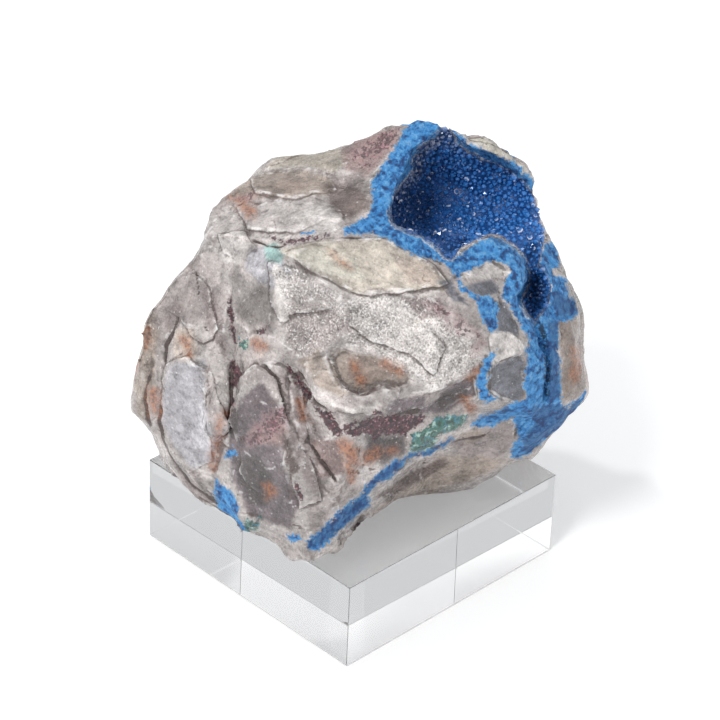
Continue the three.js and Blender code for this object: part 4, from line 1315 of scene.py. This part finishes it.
def stained(bench, colour, tones):
    """The colour with its rust, wine-red and green stains."""
    crevice = bench.step(bench.attribute("bulge"), 0.02, -0.12)
    soak = bench.attribute("rust") + tones["coarse"] * 0.50 + tones["fine"] * 0.22
    rust = bench.step(soak + crevice * 0.4, -1.1, 0.9)
    pale_rust = bench.step(tones["fine"] + tones["speck"] * 0.6, -0.7, 0.5)
    rust_colour = bench.mixed(pale_rust, RUST_DARK, RUST_PALE)
    colour = bench.laid(colour, rust_colour, rust, strength=0.78)

    first_grain = bench.cell_share(bench.cells(FIRST_GRAIN_MM))
    second_grain = bench.cell_share(bench.cells(SECOND_GRAIN_MM))
    ragged_edge = tones["coarse"] * 0.45 + tones["fine"] * 0.35 - second_grain * 0.5
    wine_colour = bench.mixed(bench.step(first_grain + tones["fine"] * 0.2, 0.3, 0.8), WINE_DARK, WINE)
    pale_grains = bench.step(second_grain + tones["fine"] * 0.2, 0.84, 0.98)
    wine_colour = bench.mixed(pale_grains, wine_colour, WINE_PALE)
    blush = bench.step(bench.attribute("blush") + ragged_edge * 1.3, -0.5, 0.5)
    colour = bench.laid(colour, bench.mixed(second_grain, ROSE, WINE_PALE), blush, strength=0.35)
    grain_depth = bench.attribute("blush") * 0.4 + tones["coarse"] * 0.8 + tones["fine"] * 0.6
    blush_grains = bench.step(grain_depth - first_grain * 0.9, -0.05, 0.25)
    colour = bench.laid(colour, wine_colour, blush * blush_grains, strength=0.75)
    wine = bench.step(bench.attribute("wine") + ragged_edge, -0.30, 0.05)
    colour = bench.laid(colour, wine_colour, wine, strength=0.93)

    green = bench.step(bench.attribute("green") + ragged_edge * 1.1, -0.35, 0.05)
    green_colour = bench.mixed(bench.step(first_grain + tones["coarse"] * 0.6, 0.2, 0.7), MOSS, MALACHITE)
    teal = bench.step(tones["wool"] - tones["coarse"] * 0.4, 0.1, 0.6)
    green_colour = bench.mixed(teal, green_colour, TEAL)
    mint = bench.step(tones["coarse"] + second_grain * 0.3, 0.42, 0.72)
    green_colour = bench.laid(green_colour, MINT, mint, strength=0.8)
    return bench.laid(colour, green_colour, green, strength=0.9)


# %% [markdown]
# ## Blue shattuckite
#
# The lining is a felt of fine blue needles. Its broken edge shows lighter tufts a third of a millimetre
# across with deep blue between them, a pale crust where it meets the quartz, and a thin greyish skin of
# quartz toward the hollow.

# %% Shattuckite
def blued(bench, colour, tones):
    """The colour with the blue lining, its pale rim, painted shade and shadow and the hollow's dark floor.
    """
    second_grain = bench.cell_share(bench.cells(SECOND_GRAIN_MM))
    edge = tones["coarse"] * 0.36 + tones["fine"] * 0.42 - second_grain * 0.44 + 0.18
    depth = bench.attribute("blue")
    blue = bench.step(depth + edge, -0.12, 0.10)
    wool = tones["wool"]
    blue_colour = bench.mixed(bench.step(wool + tones["coarse"] * 0.5, -0.55, 0.40), SEA, SKY)
    tufts = bench.step(wool + tones["speck"] * 0.4, 0.25, 0.90)
    blue_colour = bench.laid(blue_colour, PALE_SKY, tufts, strength=0.8)
    between = bench.step(wool + tones["coarse"] * 0.7, -0.30, -1.10)
    blue_colour = bench.laid(blue_colour, DEEP_SEA, between, strength=0.9)
    # Painted shade: the blue darkened inside its shaded outlines
    shadowed = bench.step(bench.attribute("deep") + tones["fine"] * 0.3, -0.3, 0.5)
    blue_colour = bench.laid(blue_colour, DEEP_SEA, shadowed, strength=0.55)
    crust_patches = bench.step(tones["fine"] + tones["coarse"] * 0.5, -0.3, 0.4)
    crust = bench.step(depth + edge, 0.45, 0.05) * crust_patches
    blue_colour = bench.laid(blue_colour, PALE_SKY, crust, strength=0.6)
    colour = bench.laid(colour, blue_colour, blue, strength=0.97)
    # A painted shadow, near black, in the band's gap
    gap = bench.step(bench.attribute("gap") + edge, -0.1, 0.25)
    colour = bench.laid(colour, SHADOW_BLACK, gap, strength=0.85)
    depth_in_hollow = bench.attribute("hollow") + edge * 0.5
    rim_patches = bench.step(tones["coarse"] + tones["fine"] * 0.6, -0.7, 0.5)
    rim = bench.step(depth_in_hollow, -0.26, -0.04) * rim_patches
    rim_colour = bench.mixed(bench.step(tones["speck"] + tones["fine"], -0.5, 0.5), MAUVE, WHITE_AND_HIGHLIGHT)
    colour = bench.laid(colour, rim_colour, rim, strength=0.8)
    hollow = bench.step(depth_in_hollow, 0.0, 0.5)
    return bench.mixed(hollow, colour, NAVY), blue


# %% Stone finish
QUARTZ_IOR = 1.54
BUMP_MM = 0.16
GLOW_MM = 0.9


def stone_finish(name):
    bench = Bench(name)
    tones = {
        "cloud": bench.noise(6.0, detail=3, roughness=0.55, distortion=0.8),
        "coarse": bench.noise(2.2, detail=4, roughness=0.6),
        "fine": bench.noise(0.7, detail=4, roughness=0.65),
        "speck": bench.noise(0.32, detail=3, roughness=0.65),
        "wool": bench.noise(1.1, detail=6, roughness=0.75, distortion=0.3) * 1.6,
        "streak": bench.streaks(0.9, STREAK_LENGTH, layer_turn),
        "crack": Value(bench, bench.cells(3.6, "DISTANCE_TO_EDGE").outputs["Distance"]),
        "sugar": bench.step(bench.attribute("sugar"), -0.6, 0.8),
    }
    colour = painted_edge_light_and_shade(bench, quartz_colour(bench, tones), tones)
    colour, blue = blued(bench, stained(bench, colour, tones), tones)
    roughness = 0.27 + tones["fine"] * 0.08 + blue * 0.43
    height = tones["coarse"] * 0.5 + tones["fine"] * 0.32 + tones["speck"] * (0.10 + tones["sugar"] * 0.3)
    height = height + tones["streak"] * 0.25 + blue * tones["wool"] * 1.1
    bump = bench.node("ShaderNodeBump", {}, {"Strength": 1.0, "Distance": BUMP_MM * MM, "Height": height})
    return bench.finish({
        "Base Color": colour,
        "Roughness": roughness,
        "IOR": QUARTZ_IOR,
        "Subsurface Weight": 0.15,
        "Subsurface Radius": (1.0, 0.8, 0.7),
        "Subsurface Scale": GLOW_MM * MM,
        "Normal": bump.outputs["Normal"],
    })


quartz_finish = stone_finish("broken_quartz")
print("stone finish has", len(quartz_finish.node_tree.nodes), "nodes")

# %% [markdown]
# ## Hand over the lump
#
# The net was built in millimetres, which suits the noise sizes. The frame is in metres, so the last step
# scales it, shades it smooth, hangs it on the root body and hides the CAD solid that it replaces.

# %% Place the quartz lump
fine.transform(Matrix.Scale(MM, 4))
fine.materials.clear()
fine.materials.append(quartz_finish)
fine.shade_smooth()
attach(lump, "root")
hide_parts("quartz_matrix")

# %% [markdown]
# ## The druse
#
# A druse is a crust of small quartz crystals, each a six-sided prism with a six-sided point. Particle
# hair could scatter them, but the export drops particles, so each crystal is written into one mesh.
# Large ones are placed first, and smaller ones fill the gaps.

# %% Scatter crystals over the hollow
SIDES = 6
# Each size: radius and spacing in millimetres, height over radius, places tried
CRYSTAL_SIZES = ((0.44, 1.4, 1.2, 4000), (0.31, 0.74, 1.0, 16000), (0.23, 0.44, 0.9, 30000))
TILT = 0.225
ROOM_CELL = 1.5
CROWDING = 0.43
ROOT_DEPTH = 0.5
FOOT_WIDTH = 0.9
SHOULDER_HEIGHT = 0.45
TIP_HEIGHT = 0.9
TIP_OFFSET = 0.15
NEAR_CELLS = [(x - 1, y - 1, z - 1) for x, y, z in np.ndindex(3, 3, 3)]
taken = {}


def hollow_faces():
    """Middles, normals and areas of the lump's faces inside the hollow, in millimetres."""
    corners = mesh_rows(fine.polygons, "vertices", 4, np.int64)
    keep = corners[in_hollow[corners].all(axis=1)]
    corner = places[keep]
    middle = corner.mean(axis=1)
    cross = np.cross(corner[:, 2] - corner[:, 0], corner[:, 3] - corner[:, 1])
    area = np.linalg.norm(cross, axis=1) / 2
    return keep, middle, cross / (2 * area[:, None]), area


face_corners, face_middles, face_normals, face_areas = hollow_faces()
draw = np.random.default_rng(8)
print("hollow area in mm2:", round(float(face_areas.sum()), 1))


def crowded(x, y, z, spacing, other_x, other_y, other_z, reach):
    """Whether two spots are too near to each other."""
    room = CROWDING * (spacing + reach)
    return (x - other_x) ** 2 + (y - other_y) ** 2 + (z - other_z) ** 2 < room * room


def spread_spots(spacing, tries):
    """Spots on the hollow at least spacing from each other and from those already taken."""
    picked = draw.choice(len(face_middles), size=tries, p=face_areas / face_areas.sum())
    shares = draw.dirichlet((1, 1, 1, 1), size=tries)
    candidates = np.einsum("ij,ijk->ik", shares, places[face_corners[picked]])
    chosen = []
    for face, (x, y, z) in zip(picked.tolist(), candidates.tolist()):
        key = (int(x // ROOM_CELL), int(y // ROOM_CELL), int(z // ROOM_CELL))
        near = (
            other
            for step_x, step_y, step_z in NEAR_CELLS
            for other in taken.get((key[0] + step_x, key[1] + step_y, key[2] + step_z), ())
        )
        if not any(crowded(x, y, z, spacing, *other) for other in near):
            taken.setdefault(key, []).append((x, y, z, spacing))
            chosen.append((face, np.array((x, y, z))))
    return chosen


def crystal_parts(place, normal, radius, height):
    """Corners of one pointed prism, sunk a little into the crust."""
    lean = normal + TILT * draw.normal(size=3)
    lean /= np.linalg.norm(lean)
    side = np.cross(lean, draw.normal(size=3))
    side /= np.linalg.norm(side)
    other = np.cross(lean, side)
    angles = draw.uniform(0, 1) + np.arange(SIDES) * 2 * math.pi / SIDES
    wobble = draw.uniform(0.8, 1.2, size=SIDES)
    ring = (np.cos(angles)[:, None] * side + np.sin(angles)[:, None] * other) * radius * wobble[:, None]
    foot = place - lean * radius * ROOT_DEPTH
    shoulder = place + lean * height * SHOULDER_HEIGHT
    tip = shoulder + radius * (TIP_HEIGHT * lean + TIP_OFFSET * side)
    return np.vstack([foot + ring * FOOT_WIDTH, shoulder + ring, tip])


spots = []
for radius, spacing, tallness, tries in CRYSTAL_SIZES:
    for face, place in spread_spots(spacing, tries):
        size = radius * draw.uniform(0.75, 1.2)
        spots.append((place, face_normals[face], size, size * tallness * draw.uniform(0.5, 1.0)))
print("crystals:", len(spots))

# %% Write the crystals into one mesh
crystal_corners = []
crystal_faces = []
for place, normal, radius, height in spots:
    first = len(crystal_corners) * (2 * SIDES + 1)
    crystal_corners.append(crystal_parts(place, normal, radius, height))
    tip = first + 2 * SIDES
    for side in range(SIDES):
        after = (side + 1) % SIDES
        crystal_faces.append((first + side, first + after, first + SIDES + after, first + SIDES + side))
        crystal_faces.append((first + SIDES + side, first + SIDES + after, tip))
    crystal_faces.append(tuple(first + SIDES - 1 - side for side in range(SIDES)))
crystal_places = np.clip(np.vstack(crystal_corners), low_stone, high_stone)
druse_mesh = bpy.data.meshes.new("druse")
druse_mesh.from_pydata((crystal_places * MM).tolist(), [], crystal_faces)
druse = placed("druse_crystals", druse_mesh)

# %% Tones of the crystals, with painted light and shade
# Each patch, painted light above 0 and painted shade below 0: how much lighter, its reach in pixels, its
# middle
LIT_PATCHES = [(0.9, 30, (468, 168)), (1.0, 30, (514, 208)), (-1.1, 30, (402, 214)), (-0.7, 20, (436, 226))]
# Each grey patch: its reach in pixels, its middle
GREY_PATCHES = [(20, (414, 165)), (14, (436, 142))]
RIM_GREY = 0.5
GLINT_RING_SHARE = 0.07
druse_pixels = on_photo(crystal_places)


def patch(middle, reach):
    """1 at a place on the photo, fading out round it."""
    return np.exp(-np.sum((druse_pixels - np.array(middle)) ** 2, axis=1) / (2 * reach**2))


lit = sum(strength * patch(middle, reach) for strength, reach, middle in LIT_PATCHES)
rim_depth = depth_inside(druse_pixels, HOLLOW) * pixel_size
grey_patch = np.minimum(1, sum(patch(middle, reach) for reach, middle in GREY_PATCHES))
grey = (1 - eased(rim_depth, 0.9, 2.4)) * grey_patch + (1 - eased(rim_depth, 0.1, 0.5)) * RIM_GREY
# A painted highlight: a pale ring on the shoulders of some crystals
glint_ringed = draw.uniform(size=len(spots)) < GLINT_RING_SHARE
glint_ring_pattern = np.array([0.0] * SIDES + [1.0] * SIDES + [0.0])
write_field(druse_mesh, "lit", lit)
write_field(druse_mesh, "grey", np.minimum(grey, 1))
write_field(druse_mesh, "ring", (glint_ringed[:, None] * glint_ring_pattern).ravel())
print("crystals with a bright ring:", int(glint_ringed.sum()))


# %% Druse finish
def druse_finish():
    bench = Bench("druse_glass")
    coarse = bench.noise(6.0, detail=3)
    fine_tone = bench.noise(1.4, detail=3)
    speck = bench.noise(0.5, detail=2)
    # The lit attribute paints light and shade into the blue of the crystals
    tone = coarse * 0.5 + fine_tone * 0.35 + speck * 0.25 + bench.attribute("lit") * 0.9
    colour = bench.mixed(bench.step(tone, -0.9, 1.1), NAVY, ROYAL)
    violet = bench.step(coarse - fine_tone * 0.5, 0.2, 0.9)
    colour = bench.laid(colour, MAUVE, violet, strength=0.15)
    grey_tone = bench.mixed(bench.step(speck + fine_tone, -0.6, 0.6), SLATE, PEARL)
    colour = bench.laid(colour, grey_tone, bench.attribute("grey"), strength=0.75)
    # Painted highlight: the pale ring on the shoulders of some crystals
    ring = bench.step(bench.attribute("ring"), 0.55, 0.95)
    colour = bench.laid(colour, WHITE_AND_HIGHLIGHT, ring, strength=0.75)
    return bench.finish({
        "Base Color": colour,
        "Roughness": 0.15 + speck * 0.04,
        "IOR": QUARTZ_IOR,
        "Coat Weight": 0.5,
        "Coat Roughness": 0.05,
    })


druse_mesh.materials.append(druse_finish())
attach(druse, "root")
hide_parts("druse_crust")

# %% [markdown]
# ## The acrylic block
#
# The block is clear cast acrylic, sawn square and polished until the edges are a hairline round. A cube of
# the solid's own size with a fine round on each edge gives those thin bright lines. Its finish is full
# transmission at acrylic's index of 1.49.

# %% Block
BLOCK_EDGE_MM = 0.12
BLOCK_EDGE_STEPS = 3
ACRYLIC_IOR = 1.49
block_low, block_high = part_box("acrylic_block")
block_net = bmesh.new()
bmesh.ops.create_cube(block_net, size=1)
block_size = Vector(block_high) - Vector(block_low)
bmesh.ops.scale(block_net, vec=block_size, verts=block_net.verts)
bmesh.ops.translate(block_net, vec=(Vector(block_high) + Vector(block_low)) / 2, verts=block_net.verts)
bmesh.ops.bevel(
    block_net, geom=block_net.edges[:], offset=BLOCK_EDGE_MM * MM, segments=BLOCK_EDGE_STEPS, profile=0.5,
    affect="EDGES",
)
block_mesh = bpy.data.meshes.new("polished_block")
block_net.to_mesh(block_mesh)
block_net.free()
block_mesh.materials.append(Bench("polished_acrylic").finish({
    "Base Color": (1, 1, 1, 1),
    "Roughness": 0.0,
    "IOR": ACRYLIC_IOR,
    "Transmission Weight": 1.0,
}))
block = placed("polished_block", block_mesh)
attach(block, "root")
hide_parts("acrylic_block")
print("block in mm:", [round(side / MM, 2) for side in block_size])

# %% [markdown]
# ## Floor and light
#
# The photo is a product shot on white: light comes from all round and above, with a soft shadow. A large
# pale floor, a white sky and one big soft lamp from the upper left give the same.

# %% Stage
floor_mesh = bpy.data.meshes.new("floor")
FLOOR_REACH = 3.0
FLOOR_DROP = 0.00025
sides = ((-1, -1), (1, -1), (1, 1), (-1, 1))
floor_corners = [(x * FLOOR_REACH, y * FLOOR_REACH, -FLOOR_DROP) for x, y in sides]
floor_mesh.from_pydata(floor_corners, [], [(0, 1, 2, 3)])
floor = placed("floor", floor_mesh)
floor_mesh.materials.append(Bench("white_floor").finish({
    "Base Color": (0.92, 0.92, 0.92, 1),
    "Roughness": 0.8,
    "Specular IOR Level": 0.1,
    "Emission Color": (1, 1, 1, 1),
    "Emission Strength": 0.20,
}))

world = bpy.data.worlds.new("white_room")
world.use_nodes = True
sky = world.node_tree.nodes["Background"]
sky.inputs["Color"].default_value = (0.96, 0.98, 1.0, 1)
sky.inputs["Strength"].default_value = 0.66
bpy.context.scene.world = world


def soft_lamp(name, place, side, power, tint):
    """A round lamp turned toward the stone."""
    light = bpy.data.lights.new(name, "AREA")
    light.shape = "DISK"
    light.size = side
    light.energy = power
    light.color = tint
    lamp = placed(name, light)
    lamp.location = place
    lamp.rotation_mode = "QUATERNION"
    lamp.rotation_quaternion = (STONE_AIM - Vector(place)).to_track_quat("-Z", "Y")


STONE_AIM = Vector((0, 0, 0.04))
soft_lamp("key_lamp", (0.15, -0.58, 0.70), side=0.22, power=3.6, tint=(1.0, 0.99, 0.97))
soft_lamp("glint_lamp", (-0.35, -0.25, 0.9), side=0.06, power=1.8, tint=(1.0, 1.0, 1.0))
soft_lamp("fill_lamp", (0.7, 0.3, 0.6), side=0.5, power=0.8, tint=(0.95, 0.97, 1.0))
bpy.context.scene.view_settings.view_transform = "Standard"

# %% Print the CAD box and finish
print("CAD box ", [round(value / MM, 2) for value in (*cad_low, *cad_high)])
